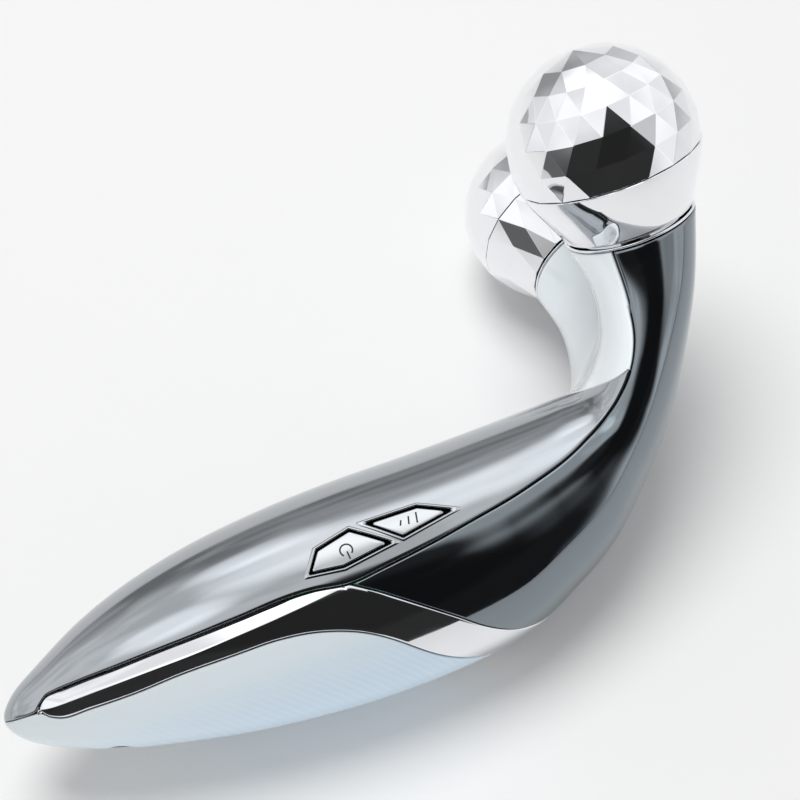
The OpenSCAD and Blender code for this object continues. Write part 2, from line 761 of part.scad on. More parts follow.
// Faceted cup: the facets of the dome go on down to the neck
waist_share = 0.75;
waist_r = neck_r + waist_share * (ball_r * cos(touch) - neck_r);
waist_low = cup_low - waist_share * (cup_low - ball_r * sin(touch));
module faceted_cup_solid() {
    n = facet_count;
    seam_low = seam_drop + seam_gap;
    points = concat(
        ring(neck_r, -cup_low, 0), ring(waist_r, -waist_low, 1), ring(seam_r, -seam_low, 2),
        [[0, 0, -cup_low]], [[0, 0, -seam_low]]);
    base = 3 * n;
    high_fan = [for (j = [0:n - 1]) [base + 1, 2 * n + (j + 1) % n, 2 * n + j]];
    polyhedron(points = points, faces = concat(net(3), low_fan(base), high_fan), convexity = 2);
}

// Dome: staggered rows of triangles from the seam to the pole
row_pitch = 15.9;
row_count = 6;
function ball_turn(side) = side == RIGHT ? right_ball_turn : left_ball_turn;
function about_axle(p, a) =
    [p[0] * cos(a) - p[1] * sin(a), p[0] * sin(a) + p[1] * cos(a), p[2]];
function dome_row(i) =
    let (lat = -seam_angle + i * row_pitch)
    ring(ball_r * cos(lat), ball_r * sin(lat), i,
        i < row_count - 1 ? facet_count : facet_count / 2);
module dome_solid() {
    n = facet_count;
    points = concat([for (i = [0:row_count - 1]) each dome_row(i)], [[0, 0, ball_r]],
        [[0, 0, -seam_drop]]);
    top = (row_count - 1) * n;
    pole = top + n / 2;
    cap = [for (j = [0:n / 2 - 1])
        let (a = top - n + 2 * j, b = top - n + (2 * j + 1) % n, c = top - n + (2 * j + 2) % n,
             p = top + j, q = top + (j + 1) % (n / 2))
        each [[a, p, b], [b, p, q], [b, q, c], [p, pole, q]]];
    polyhedron(points = points, faces = concat(net(row_count - 1), cap, low_fan(pole + 1)),
        convexity = 2);
}
module ball_dome(side) {
    color(bright)
        at_ball(side)
            rotate(ball_turn(side))
                difference() {
                    dome_solid();
                    sphere(r = ball_r - ball_wall, $fn = 96);
                }
}
module right_ball_dome() { ball_dome(RIGHT); }
module left_ball_dome() { ball_dome(LEFT); }

// ---- Buttons and electronics ----------------------------------------------
module power_button() {
    color(gunmetal)
        button_cap(POWER_OUTLINE, POWER_PRESS);
}

module mode_button() {
    color(gunmetal)
        button_cap(MODE_OUTLINE, MODE_PRESS);
}

module button_mat() {
    color(nylon)
        at_buttons()
            translate([-14, -5, -mat_top - mat_t])
                cube([31, 11, mat_t]);
}

module circuit_board() {
    color([0.1, 0.36, 0.2])
        at_buttons()
            translate([board_left, board_low, -board_top - board_t])
                cube([board_length, board_width, board_t]);
}

module switches() {
    color([0.7, 0.7, 0.72])
        at_buttons() {
            switch_body(POWER_PRESS);
            switch_body(MODE_PRESS);
        }
}

module status_light() {
    color([0.55, 0.75, 0.95])
        at_buttons()
            translate([-13.5, -1, -board_top])
                cube([2, 1.2, 0.8]);
}

module control_chip() {
    color([0.1, 0.1, 0.11])
        at_buttons()
            translate([13, -6, -board_top])
                cube([7, 7, 1.2]);
}

module battery() {
    color([0.25, 0.45, 0.7])
        union() {
            along_x(battery_start, battery_y, battery_z, battery_length, battery_d);
            along_x(battery_end, battery_y, battery_z, 1.2, 5);
        }
}

module motor() {
    color(steel)
        difference() {
            along_x(motor_start, motor_y, motor_z, motor_length, motor_d);
            along_x(motor_end - 6, motor_y, motor_z, 7, motor_shaft_d + 0.1);
        }
}

module motor_weight() {
    color([0.75, 0.68, 0.45])
        union() {
            along_x(motor_end - 5.5, motor_y, motor_z, 8.3 + weight_length, motor_shaft_d);
            intersection() {
                along_x(motor_end + 2.2, motor_y, motor_z, weight_length, motor_d);
                translate([motor_end, motor_y - motor_d, motor_z - motor_d])
                    cube([20, 2 * motor_d, motor_d + 0.6]);
            }
        }
}

module charging_socket() {
    color(nylon)
        at_socket()
            difference() {
                union() {
                    disc(socket_d / 2, 0.3, 2.3 + socket_bore_depth);
                    disc(socket_d / 2 + 1.2, shell_wall + 1.4, shell_wall + 2.4);
                }
                disc(socket_bore_d / 2, 0, 0.3 + socket_bore_depth);
            }
}

module case_screw(length) {
    cylinder(h = 1.6, d = screw_d + 1.9, $fn = 32);
    translate([0, 0, -length])
        cylinder(h = length, d = screw_d, $fn = 32);
}

module case_screws() {
    color(steel)
        translate([0, 0, plate_z + plate_t]) {
            for (p = CASE_POSTS)
                translate([p[0], p[1], 0])
                    case_screw(screw_length);
            for (p = CORE_SCREWS)
                translate([p[0], p[1], 0])
                    case_screw(plate_t + core_pad_t - 0.5);
        }
}

// ---- Resting pose ----------------------------------------------------------
// A point of a ball's own frame, seen in the device frame
function on_ball(side, p) =
    let (y = p[1] * cos(ball_tilt) + side * p[2] * sin(ball_tilt),
         z = p[2] * cos(ball_tilt) - side * p[1] * sin(ball_tilt))
    [ball_reach + p[0] * cos(axis_lean) - z * sin(axis_lean), side * ball_spacing / 2 + y,
     ball_rise + p[0] * sin(axis_lean) + z * cos(axis_lean)];
// A point of the device frame, rolled about the handle and then tilted
function turned(p, tilt) =
    let (y = p[1] * sin(rest_roll) + p[2] * cos(rest_roll),
         z = p[2] * sin(rest_roll) - p[1] * cos(rest_roll))
    [p[0] * cos(tilt) - z * sin(tilt), y, p[0] * sin(tilt) + z * cos(tilt)];
function lowest(points, tilt) =
    let (all = [for (p = points) turned(p, tilt)], z = min([for (p = all) p[2]]))
    [for (p = all) if (p[2] == z) p][0];
function ball_corners(side) =
    [for (i = [0:row_count - 1], p = dome_row(i)) on_ball(side, about_axle(p, ball_turn(side)))];
// The tilt at which the left flank and the left ball both touch the table
LEFT_FLANK = [for (t = [6.5:0.1:9.5], phi = [96:3:126]) skin(t, phi, LEFT)];
LEFT_BALL = ball_corners(LEFT);
function settle(tilt, tries) = tries == 0 ? tilt
    : let (gap = lowest(LEFT_BALL, tilt) - lowest(LEFT_FLANK, tilt))
      settle(tilt - atan2(gap[2], gap[0]), tries - 1);
rest_tilt = settle(0, 5);
OUTSIDE = [for (side = [RIGHT, LEFT], t = [0.04, for (i = [0.5:0.5:last]) i], phi = [0:6:180])
    skin(t, phi, side)];
POLES = [for (side = [RIGHT, LEFT]) on_ball(side, [0, 0, ball_r])];
CORNERS = [for (p = concat(OUTSIDE, LEFT_FLANK, LEFT_BALL, ball_corners(RIGHT), POLES))
    turned(p, rest_tilt)];
function middle(k) =
    (min([for (p = CORNERS) p[k]]) + max([for (p = CORNERS) p[k]])) / 2;
rest_place = [-middle(0), -middle(1), -min([for (p = CORNERS) p[2]])];
module lay_down() {
    translate(rest_place)
        rotate([rest_roll - 90, -rest_tilt, 0])
            children();
}

lay_down() top_cover();
lay_down() grip_shell();
lay_down() right_band();
lay_down() left_band();
lay_down() right_arm_cover();
lay_down() left_arm_cover();
lay_down() fork_panel();
lay_down() right_arm_ring();
lay_down() left_arm_ring();
lay_down() frame_plate();
lay_down() fork_core();
lay_down() right_axle();
lay_down() left_axle();
lay_down() right_ball_dome();
lay_down() left_ball_dome();
lay_down() right_ball_cup();
lay_down() left_ball_cup();
lay_down() right_ball_hub();
lay_down() left_ball_hub();
lay_down() right_ball_bearings();
lay_down() left_ball_bearings();
lay_down() right_axle_screw();
lay_down() left_axle_screw();
lay_down() power_button();
lay_down() mode_button();
lay_down() button_mat();
lay_down() circuit_board();
lay_down() switches();
lay_down() status_light();
lay_down() control_chip();
lay_down() battery();
lay_down() motor();
lay_down() motor_weight();
lay_down() charging_socket();
lay_down() case_screws();
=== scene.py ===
# %% [markdown]
# # A facial toning device
#
# The device is a leaf-shaped handle that bends into a fork. Each arm of the fork carries a
# faceted ball on a slanting axle. Nearly every surface is a mirror, so the work is in two
# things: skins that flow without a dent, because a mirror shows each one, and a room for
# them to reflect. The script makes each visible skin again at a fine resolution, gives
# every piece its finish, and then sets up the floor, the light and the camera.

# %% Load the frame
import json
import math

import bmesh
import bpy
import numpy as np
from mathutils import Matrix, Vector


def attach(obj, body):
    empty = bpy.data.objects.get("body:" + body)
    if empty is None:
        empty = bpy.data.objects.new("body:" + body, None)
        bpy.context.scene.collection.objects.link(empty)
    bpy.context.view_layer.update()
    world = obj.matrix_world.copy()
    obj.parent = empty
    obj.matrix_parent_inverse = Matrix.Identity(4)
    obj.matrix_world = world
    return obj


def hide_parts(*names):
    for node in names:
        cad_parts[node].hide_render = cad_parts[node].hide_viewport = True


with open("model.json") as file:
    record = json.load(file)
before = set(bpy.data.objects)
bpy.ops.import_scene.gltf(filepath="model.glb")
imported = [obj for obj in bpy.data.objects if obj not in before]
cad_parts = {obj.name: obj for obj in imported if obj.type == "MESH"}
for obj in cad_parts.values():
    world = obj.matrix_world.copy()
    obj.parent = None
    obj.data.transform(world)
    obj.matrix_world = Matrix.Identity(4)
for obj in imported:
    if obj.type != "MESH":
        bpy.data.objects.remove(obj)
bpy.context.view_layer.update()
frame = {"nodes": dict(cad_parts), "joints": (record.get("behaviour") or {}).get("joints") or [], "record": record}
nodes = frame["nodes"]
MM = 0.001

# %% [markdown]
# ## The device's own directions
#
# The device lies tilted on the table, so it would be awkward to model in the table's
# frame. Its own frame is easier: x runs from the tail to the head, y to the left flank
# and z from the keel to the ridge, in millimetres, with the tail's tip at the origin.
# Both balls and both axles are known in the two frames, and that fixes the turn.

# %% Find the turn and the place of the device
BALL_REACH = 151.4
BALL_RISE = 68.5
BALL_SPACING = 55
BALL_R = 20
BALL_TILT = math.radians(28.5)
AXIS_LEAN = math.radians(6.7)
RIGHT = -1
LEFT = 1

spins = {joint["name"]: joint for joint in frame["joints"]}
right_ball = np.array(spins["right_ball_spin"]["pos_m"]) / MM
left_ball = np.array(spins["left_ball_spin"]["pos_m"]) / MM


def unit(v):
    v = np.asarray(v, float)
    return v / np.linalg.norm(v)


side_way = unit(left_ball - right_ball)
lean_up = unit(
    np.array(spins["right_ball_spin"]["axis"]) + np.array(spins["left_ball_spin"]["axis"])
)
lean_front = np.cross(side_way, lean_up)
handle_way = math.cos(AXIS_LEAN) * lean_front - math.sin(AXIS_LEAN) * lean_up
ridge_way = math.sin(AXIS_LEAN) * lean_front + math.cos(AXIS_LEAN) * lean_up
TURN = np.column_stack([handle_way, side_way, ridge_way])
TAIL = (right_ball + left_ball) / 2 - TURN @ np.array([BALL_REACH, 0, BALL_RISE])


def to_table(points):
    """Turns device millimetres into the frame's metres."""
    return (np.asarray(points, float) @ TURN.T + TAIL) * MM


print("tail of the device at", to_table([0, 0, 0]).round(4))

# %% [markdown]
# ## The skin
#
# Handle, crook and arms are one skin, cut into panels. It is a row of cross-sections,
# and a Catmull-Rom curve through them gives every section in between. A section is an
# ellipse cut by the middle plane. On the handle both halves join in one leaf. Further
# on they move apart and tilt, a fillet keeps them joined in a saddle, and past the
# saddle each half is an arm of its own.

# %% Set the sections of the skin
HANDLE_LENGTH = 134
RIDGE_HEIGHT = 23.8
KEEL_DEPTH = 22
HALF_WIDTH = 21
NECK_R = 14.1
NECK_DROP = 18.6
CREASE_LIFT = 0.7
HANDLE_FILLET = 7

# Handle: shares of its length, ridge height, keel depth and half width
HANDLE = [
    [0, 0, 0, 0], [0.022, 0.19, 0.22, 0.22], [0.075, 0.37, 0.41, 0.42],
    [0.15, 0.585, 0.585, 0.6], [0.24, 0.765, 0.73, 0.757], [0.345, 0.895, 0.865, 0.886],
    [0.463, 0.97, 0.96, 0.97], [0.582, 1, 1, 1], [0.7, 1, 0.98, 1], [0.8, 1.01, 0.89, 0.98],
]
# Crook: front x and z and back x and z from the corner under the fork, then the shares
# of the way to the arm's end in width, spread and tilt, and the fillet
CROOK = [
    [-16, 0.4, -15, -38.4, 0.16, 0.03, 0.07, 7], [-7, 0.5, -4, -32, 0.35, 0.115, 0.21, 7],
    [0, 0.8, 5.5, -23.2, 0.55, 0.245, 0.39, 7], [4, 4.2, 14, -13.3, 0.74, 0.435, 0.6, 7],
    [7, 10.2, 21, -1.8, 0.88, 0.645, 0.77, 6], [7.6, 18.7, 28, 13.2, 0.97, 0.845, 0.91, 3],
]


def section_row(front, back, rest):
    front, back = np.array(front, float), np.array(back, float)
    return np.concatenate([(front + back) / 2, (front - back) / 2, rest])


ring_spread = BALL_SPACING / 2 - NECK_DROP * math.sin(BALL_TILT)
lean = np.array([-math.sin(AXIS_LEAN), math.cos(AXIS_LEAN)])
ring_middle = np.array([BALL_REACH, BALL_RISE]) - NECK_DROP * math.cos(BALL_TILT) * lean
ring_reach = NECK_R * np.array([-math.cos(AXIS_LEAN), -math.sin(AXIS_LEAN)])
corner = np.array([HANDLE_LENGTH, RIDGE_HEIGHT])
tilt_degrees = math.degrees(BALL_TILT)

section_rows = []
for share, ridge, keel, width in HANDLE:
    x = share * HANDLE_LENGTH
    front, back = [x, ridge * RIDGE_HEIGHT], [x, -keel * KEEL_DEPTH]
    section_rows.append(section_row(front, back, [width * HALF_WIDTH, 0, 0, HANDLE_FILLET]))
for fx, fz, bx, bz, narrow, spread, tilt, fillet in CROOK:
    width = HALF_WIDTH + narrow * (NECK_R - HALF_WIDTH)
    rest = [width, spread * ring_spread, tilt * tilt_degrees, fillet]
    section_rows.append(section_row(corner + [fx, fz], corner + [bx, bz], rest))
ring_rest = [NECK_R, ring_spread, tilt_degrees, 0.01]
section_rows.append(section_row(ring_middle + ring_reach, ring_middle - ring_reach, ring_rest))
LAST = len(section_rows) - 1
# The section before the tail is the first one turned over, so the tail is round
before_tail = section_rows[1] * [1, 1, -1, -1, -1, 1, 1, 1]
after_head = 2 * section_rows[LAST] - section_rows[LAST - 1]
SECTIONS = np.array([before_tail] + section_rows + [after_head])
print("sections:", len(section_rows))

# %% Blend the sections and find a point of the skin
FREE_FROM = 13
FREE_OVER = 2.5


def ease(u):
    v = np.clip(u, 0, 1)
    return v * v * (3 - 2 * v)


def section(t):
    i = np.clip(np.floor(t).astype(int), 0, LAST - 1)
    u = (t - i)[..., None]
    a, b, c, d = (SECTIONS[i + k] for k in range(4))
    return 0.5 * (
        2 * b + (c - a) * u + (2 * a - 5 * b + 4 * c - d) * u**2 + (3 * b - a - 3 * c + d) * u**3
    )


def half_depth(t):
    s = section(np.asarray(t, float))
    return np.hypot(s[..., 2], s[..., 3])


def skin(t, phi, side=LEFT, inset=0.0):
    """A point of the skin: t is the station, phi the angle in degrees from the ridge (0)
    over the flank (90) to the keel (180), and inset the depth under the skin."""
    given = (np.asarray(value, float) for value in (t, phi, side, inset))
    t, phi, side, inset = np.broadcast_arrays(*given)
    s = section(t)
    depth = np.maximum(np.hypot(s[..., 2], s[..., 3]), 0.01)
    out = s[..., 2:4] / depth[..., None]
    along = np.stack([out[..., 1], -out[..., 0]], -1)
    b = np.maximum(depth - inset, 0.02)
    a = np.maximum(s[..., 4] - inset, 0.02)
    tilt = np.radians(s[..., 6])
    mid = s[..., 5] / np.cos(tilt)
    k = np.maximum(np.minimum(s[..., 7], a / 2), 0.01)
    apart = mid - a >= k
    at_k = np.where(apart, 0, np.minimum(0.999, (k - mid) / a))
    rise_k = b * np.sqrt(1 - at_k**2)
    slope_k = np.where(apart, 0, -b * at_k / (a * np.sqrt(1 - at_k**2)))
    steep = slope_k > 1e-9
    valley = np.where(steep, k * k - 2 * k * rise_k / np.where(steep, slope_k, 1), 0)
    inner = np.where(apart, mid - a, np.sqrt(np.maximum(valley, 0)))
    outer = mid + a
    turn = np.radians(np.where(phi <= 90, phi, 180 - phi))
    w = ease((t - FREE_FROM) / FREE_OVER)
    reach = (1 - w) * (inner + (outer - inner) * np.sin(turn)) + w * (
        (inner + outer) / 2 - (outer - inner) / 2 * np.cos(2 * turn)
    )
    bowl = b * np.sqrt(np.maximum(0, 1 - ((reach - mid) / a) ** 2))
    saddle = rise_k - (k * k - reach**2) / (2 * k) * slope_k
    d = np.where((reach < k) & ~apart, saddle, bowl)
    d = np.where(phi <= 90, d, -d)
    slide = np.sin(tilt) * (np.hypot(reach, k) - np.hypot(mid, k))
    p = s[..., 0:2] + out * d[..., None] - along * slide[..., None]
    return np.stack([p[..., 0], side * np.cos(tilt) * reach, p[..., 1]], -1)


print("widest point of the handle:", skin(7, 90).round(1))

# %% [markdown]
# ## The shut lines
#
# Thin dark lines part the panels. Each is a smooth curve on the skin, given by a few
# stations and the angle there. The curve is a Hermite spline, which stays calm between
# its points.

# %% Set the shut lines
TOP_SEAM = [
    [0, 95], [1.55, 94.5], [1.75, 85], [1.95, 77.5], [2.2, 77.5], [2.7, 81], [3.4, 84.5],
    [4.4, 86], [5.2, 85.4], [5.8, 84.3], [6.2, 85.2], [6.65, 88], [7.1, 86.4], [7.9, 82.6],
    [8.6, 79.6], [9.4, 78], [10.3, 77], [11.3, 74.3], [12, 73.1], [12.6, 75], [13.5, 77.3],
    [14.2, 76.4], [15, 71.6], [15.5, 69.8], [16, 69],
]
LOW_SEAM = [
    [0, 95], [1.55, 94.5], [1.75, 98], [1.9, 105.5], [2.2, 111.4], [2.7, 109.7], [3.6, 108],
    [4.3, 105.2], [5.1, 103.8], [5.6, 103.3], [6.1, 106], [6.6, 113.3], [7, 124.5],
    [7.5, 145], [8, 164.5], [8.45, 180],
]
ARM_SEAM = [
    [6.65, 88], [6.8, 92], [7, 97.5], [7.4, 110], [7.8, 123.5], [8.1, 135], [8.4, 145.5],
    [8.65, 153.5], [9, 163.5], [9.6, 180],
]
CREASE = [[1.7, 91], [2, 94], [3, 95.8], [4.3, 96], [5.2, 93.7], [6, 91], [6.65, 88.4]]
LOW_SEAM_END = LOW_SEAM[-1][0]
ARM_SEAM_END = ARM_SEAM[-1][0]
BAND_START = 1.62
BAND_JOIN = 6.65
BAND_END = 9.58
GRIP_END = 8.42
HORN_STATION = 13.5
HORN_ANGLE = 77.3
SADDLE_STATION = 11.3
SADDLE_POWER = 1.45
SHUT_LINE = 0.3


def seam(points, t):
    s = np.array(points, float)
    t = np.clip(np.asarray(t, float), s[0, 0], s[-1, 0])
    i = np.clip(np.searchsorted(s[:, 0], t, side="right") - 1, 0, len(s) - 2)
    each = np.arange(len(s))
    before, after = np.maximum(each - 1, 0), np.minimum(each + 1, len(s) - 1)
    slope = (s[after, 1] - s[before, 1]) / (s[after, 0] - s[before, 0])
    h = s[i + 1, 0] - s[i, 0]
    u = (t - s[i, 0]) / h
    v = 1 - u
    ends = s[i, 1] * v * v * (1 + 2 * u) + s[i + 1, 1] * u * u * (1 + 2 * v)
    return ends + h * u * v * (slope[i] * v - slope[i + 1] * u)


def top_edge(t):
    return seam(TOP_SEAM, t)


def low_edge(t):
    return np.where(t >= LOW_SEAM_END, 180, seam(LOW_SEAM, t))


def arm_edge(t):
    return np.where(t >= ARM_SEAM_END, 180, seam(ARM_SEAM, t))


def saddle_edge(phi):
    share = np.minimum(1, phi / HORN_ANGLE)
    return SADDLE_STATION + (HORN_STATION - SADDLE_STATION) * share**SADDLE_POWER


def angle_of(width, t):
    """The angle that a width in millimetres takes on the skin."""
    return np.degrees(width / np.maximum(half_depth(t), 3))


crease_ends = [round(float(seam(CREASE, t)), 1) for t in (CREASE[0][0], CREASE[-1][0])]
print("angles at the crease's ends:", crease_ends)

# %% [markdown]
# ## A panel with rolled edges
#
# A moulded panel never ends in a knife edge: its rim rolls over a small radius and goes
# down into the shut line, and that thin roll is what catches the light. A panel starts
# as a flat grid. Each grid line across it has a share of the way, a distance in
# millimetres from the edge and a depth, so the outer lines crowd into the roll. The grid
# is then laid on the skin, copied for the inner face, and both are welded at the rim.

# %% Lay grids on the skin
WALL = 1.5
PANEL_WELD = 0.00002
ROLL = [(0, WALL), (0, 0.35), (0.05, 0.18), (0.14, 0.06), (0.28, 0.0)]


def grid_lines(count):
    """Lines across a panel: share of the way, distance from the edge in mm, depth."""
    reach = ROLL[-1][0]
    lines = [(0.0, away, depth) for away, depth in ROLL]
    for share in np.linspace(0, 1, count + 1)[1:-1]:
        lines.append((share, reach * (1 - share) - reach * share, 0.0))
    lines += [(1.0, -away, depth) for away, depth in reversed(ROLL)]
    return np.array(lines)


def spread(rows, columns):
    """Share, distance and depth of the rows and then of the columns, ready to combine."""
    return (*(rows[:, k][:, None] for k in range(3)), *(columns[:, k][None, :] for k in range(3)))


def link(mesh_object):
    bpy.context.scene.collection.objects.link(mesh_object)
    return mesh_object


def finish_mesh(name, bm, smooth=True):
    """Turns a bmesh into a linked object."""
    mesh = bpy.data.meshes.new(name)
    for face in bm.faces:
        face.smooth = smooth
    bm.to_mesh(mesh)
    bm.free()
    return link(bpy.data.objects.new(name, mesh))


def lay_grid(bm, places):
    """Adds a grid whose vertex in row i and column j lies at places[i, j]."""
    rows, columns = places.shape[:2]
    made = bmesh.ops.create_grid(bm, x_segments=rows - 1, y_segments=columns - 1, size=0.5)
    for vertex in made["verts"]:
        i = round((vertex.co.x + 0.5) * (rows - 1))
        j = round((vertex.co.y + 0.5) * (columns - 1))
        vertex.co = places[i, j]
    return made["verts"]


def panel(name, outer, inner):
    """A closed panel from an outer and an inner grid of device points."""
    bm = bmesh.new()
    lay_grid(bm, to_table(outer))
    count = len(bm.faces)
    lay_grid(bm, to_table(inner))
    bm.faces.ensure_lookup_table()
    outside, inside = bm.faces[:count], bm.faces[count:]
    bm.normal_update()
    middle = (outer.shape[0] // 2, outer.shape[1] // 2)
    way = Vector(to_table(outer[middle]) - to_table(inner[middle]))
    spot = Vector(to_table(outer[middle]))
    nearest = min(outside, key=lambda face: (face.calc_center_median() - spot).length)
    turned = outside if nearest.normal.dot(way) < 0 else inside
    bmesh.ops.reverse_faces(bm, faces=turned)
    bmesh.ops.remove_doubles(bm, verts=bm.verts, dist=PANEL_WELD)
    print(f"{name}: {len(bm.faces)} faces")
    return finish_mesh(name, bm)


# %% [markdown]
# ## The top cover
#
# The gun-metal top cover runs from the tail to the foot of the fork, where it ends in two
# horns. It is one grid from seam to seam over the ridge.

# %% Make the top cover
NOSE = 0.035
TAIL_CROWDING = 1.15
COVER_GRID = (300, 120)
COVER_GAP = 0.012


def tail_gap(t):
    """Half a shut line as an angle, also close to the tail."""
    return angle_of(SHUT_LINE / 2, np.maximum(t, 0.3))


def leaf_panel(name, counts, end, half_angle, from_keel=False):
    """A panel over the ridge or under the keel. end takes the share across and gives the
    last station. half_angle takes the station and gives the reach to each side."""
    rows, columns = (grid_lines(count) for count in counts)
    rows[:, 0] = rows[:, 0] ** TAIL_CROWDING
    u, du, depth_u, v, dv, depth_v = spread(rows, columns)
    t = NOSE + (end(v) - NOSE) * u
    ahead, behind = (skin(np.clip(t + step, 0, LAST), 45) for step in (0.02, -0.02))
    per_station = np.linalg.norm(ahead - behind, axis=-1)
    t = np.clip(t + du * 0.04 / np.maximum(per_station, 0.1), 0, LAST)
    reach = half_angle(t)
    phi = -reach + 2 * reach * v + angle_of(dv, t)
    side = np.where(phi < 0, RIGHT, LEFT)
    angle = 180 - np.abs(phi) if from_keel else np.abs(phi)
    outer = skin(t, angle, side, np.maximum(depth_u, depth_v))
    return panel(name, outer, skin(t, angle, side, WALL))


def saddle_end(v):
    return saddle_edge(np.abs(2 * v - 1) * HORN_ANGLE) - COVER_GAP


top_cover = leaf_panel(
    "top_cover_shell", COVER_GRID, saddle_end, lambda t: top_edge(t) - tail_gap(t)
)
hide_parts("top_cover")
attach(top_cover, "handle")

# %% [markdown]
# ## The buttons
#
# Two buttons sit in the right flank, each in an opening with a raised round lip. Their
# outlines are drawn flat, in a frame on the flank, and every point of them is then moved
# onto the skin. An outline has round corners and can grow or shrink, so one outline
# makes the cutter, the lip and the cap.

# %% Draw on the flank
BUTTON_STATION = 7.13
BUTTON_ANGLE = 71
BUTTON_SLOPE = math.radians(18)
CORNER_R = 0.35
MM_PER_STATION = 15.5
MM_PER_DEGREE = 0.39
POWER_OUTLINE = [[-14.6, -2.3], [-7.4, -3.4], [3.5, -2], [-3.8, 4], [-11.5, 2.2]]
MODE_OUTLINE = [[-0.8, 4.1], [5.6, -1.8], [17.3, 0.2], [10.6, 3.8]]
button_middle = skin(BUTTON_STATION, BUTTON_ANGLE, RIGHT)
button_x = np.array([1.0, 0, 0])
button_y = np.array([0, math.sin(BUTTON_SLOPE), math.cos(BUTTON_SLOPE)])
button_z = np.array([0, -math.cos(BUTTON_SLOPE), math.sin(BUTTON_SLOPE)])


def outline(points, grow, steps=7):
    """The outline moved outwards by grow, with round corners, as (u, v) points."""
    p = np.array(points, float)
    edge = np.roll(p, -1, 0) - p
    normal = np.stack([edge[:, 1], -edge[:, 0]], -1) / np.linalg.norm(edge, axis=1)[:, None]
    arcs = []
    for k in range(len(p)):
        n1, n2 = normal[k - 1], normal[k]
        middle = p[k] + (grow - CORNER_R) * (n1 + n2) / (1 + n1 @ n2)
        start = math.atan2(n1[1], n1[0])
        sweep = (math.atan2(n2[1], n2[0]) - start) % math.tau
        turn = start + sweep * np.linspace(0, 1, steps)
        arcs.append(middle + CORNER_R * np.stack([np.cos(turn), np.sin(turn)], -1))
    rows = []
    for k in range(len(p)):
        end, start = arcs[k][-1], arcs[(k + 1) % len(p)][0]
        rows += [arcs[k], end + (start - end) * np.linspace(0, 1, 14)[1:-1, None]]
    return np.concatenate(rows)


def on_flank(uv, depth=0.0):
    """Moves (u, v) points onto the skin, and depth mm under it."""
    uv = np.asarray(uv, float)
    t = BUTTON_STATION + uv[..., 0] / MM_PER_STATION
    phi = BUTTON_ANGLE - uv[..., 1] / MM_PER_DEGREE
    axes = np.stack([button_x, button_y], -1)
    for _ in range(8):
        here = (skin(t, phi, RIGHT) - button_middle) @ axes
        by_t = ((skin(t + 0.001, phi, RIGHT) - button_middle) @ axes - here) / 0.001
        by_phi = ((skin(t, phi + 0.01, RIGHT) - button_middle) @ axes - here) / 0.01
        miss = uv - here
        area = by_t[..., 0] * by_phi[..., 1] - by_t[..., 1] * by_phi[..., 0]
        t = t + (miss[..., 0] * by_phi[..., 1] - miss[..., 1] * by_phi[..., 0]) / area
        phi = phi + (by_t[..., 0] * miss[..., 1] - by_t[..., 1] * miss[..., 0]) / area
    return skin(t, phi, RIGHT) - np.asarray(depth)[..., None] * button_z


def lay_rings(bm, rings):
    """Joins closed rings of device points. Equal points at an end close it."""
    places = to_table(np.array([np.concatenate([ring, ring[:1]]) for ring in rings]))
    verts = lay_grid(bm, places)
    bmesh.ops.remove_doubles(bm, verts=verts, dist=0.000001)


def close_up(bm):
    bmesh.ops.recalc_face_normals(bm, faces=bm.faces)
    return bm


def off_flank(uv, height):
    """The place of (u, v) points on the flat frame itself, raised by height."""
    return button_middle + uv[:, :1] * button_x + uv[:, 1:] * button_y + height * button_z


def flat_ring(points, grow, depth):
    return on_flank(outline(points, grow), depth)


print("the power button is", round(np.ptp(outline(POWER_OUTLINE, 0)[:, 0]), 1), "mm long")

# %% Cut the openings and add their lips
# Growth of the outline and depth, in mm, round the section of a lip
RIM = [
    (0.0, 1.2), (0.0, 0.25), (0.02, 0.1), (0.07, -0.05), (0.16, -0.15), (0.28, -0.2),
    (0.42, -0.18), (0.56, -0.11), (0.68, -0.02), (0.76, 0.05), (0.74, 0.6), (0.4, 1.2),
    (0.0, 1.2),
]
CUT_BELOW = -6
CUT_ABOVE = 5


def cut_away(thing, bm):
    """Cuts the solid in bm out of a shell."""
    cutter = finish_mesh("cutter", close_up(bm))
    modifier = thing.modifiers.new("opening", "BOOLEAN")
    modifier.operation = "DIFFERENCE"
    modifier.solver = "EXACT"
    modifier.object = cutter
    graph = bpy.context.evaluated_depsgraph_get()
    whole = bpy.data.meshes.new_from_object(thing.evaluated_get(graph))
    thing.modifiers.clear()
    thing.data = whole
    bpy.data.objects.remove(cutter)


def cut_opening(thing, points):
    """Cuts an outline through a shell, as a prism along the button's own axis."""
    bm = bmesh.new()
    ring = outline(points, 0.02)
    middle = np.tile(ring.mean(0), (len(ring), 1))
    ends = ((middle, CUT_BELOW), (ring, CUT_BELOW), (ring, CUT_ABOVE), (middle, CUT_ABOVE))
    lay_rings(bm, [off_flank(end, height) for end, height in ends])
    cut_away(thing, bm)


def make_rim(name, points):
    bm = bmesh.new()
    lay_rings(bm, [flat_ring(points, grow, depth) for grow, depth in RIM])
    rim = finish_mesh(name, close_up(bm))
    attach(rim, "handle")
    return rim


for button_outline in (POWER_OUTLINE, MODE_OUTLINE):
    cut_opening(top_cover, button_outline)
rims = [make_rim("power_opening_lip", POWER_OUTLINE), make_rim("mode_opening_lip", MODE_OUTLINE)]
print("cover with openings:", len(top_cover.data.polygons), "faces")

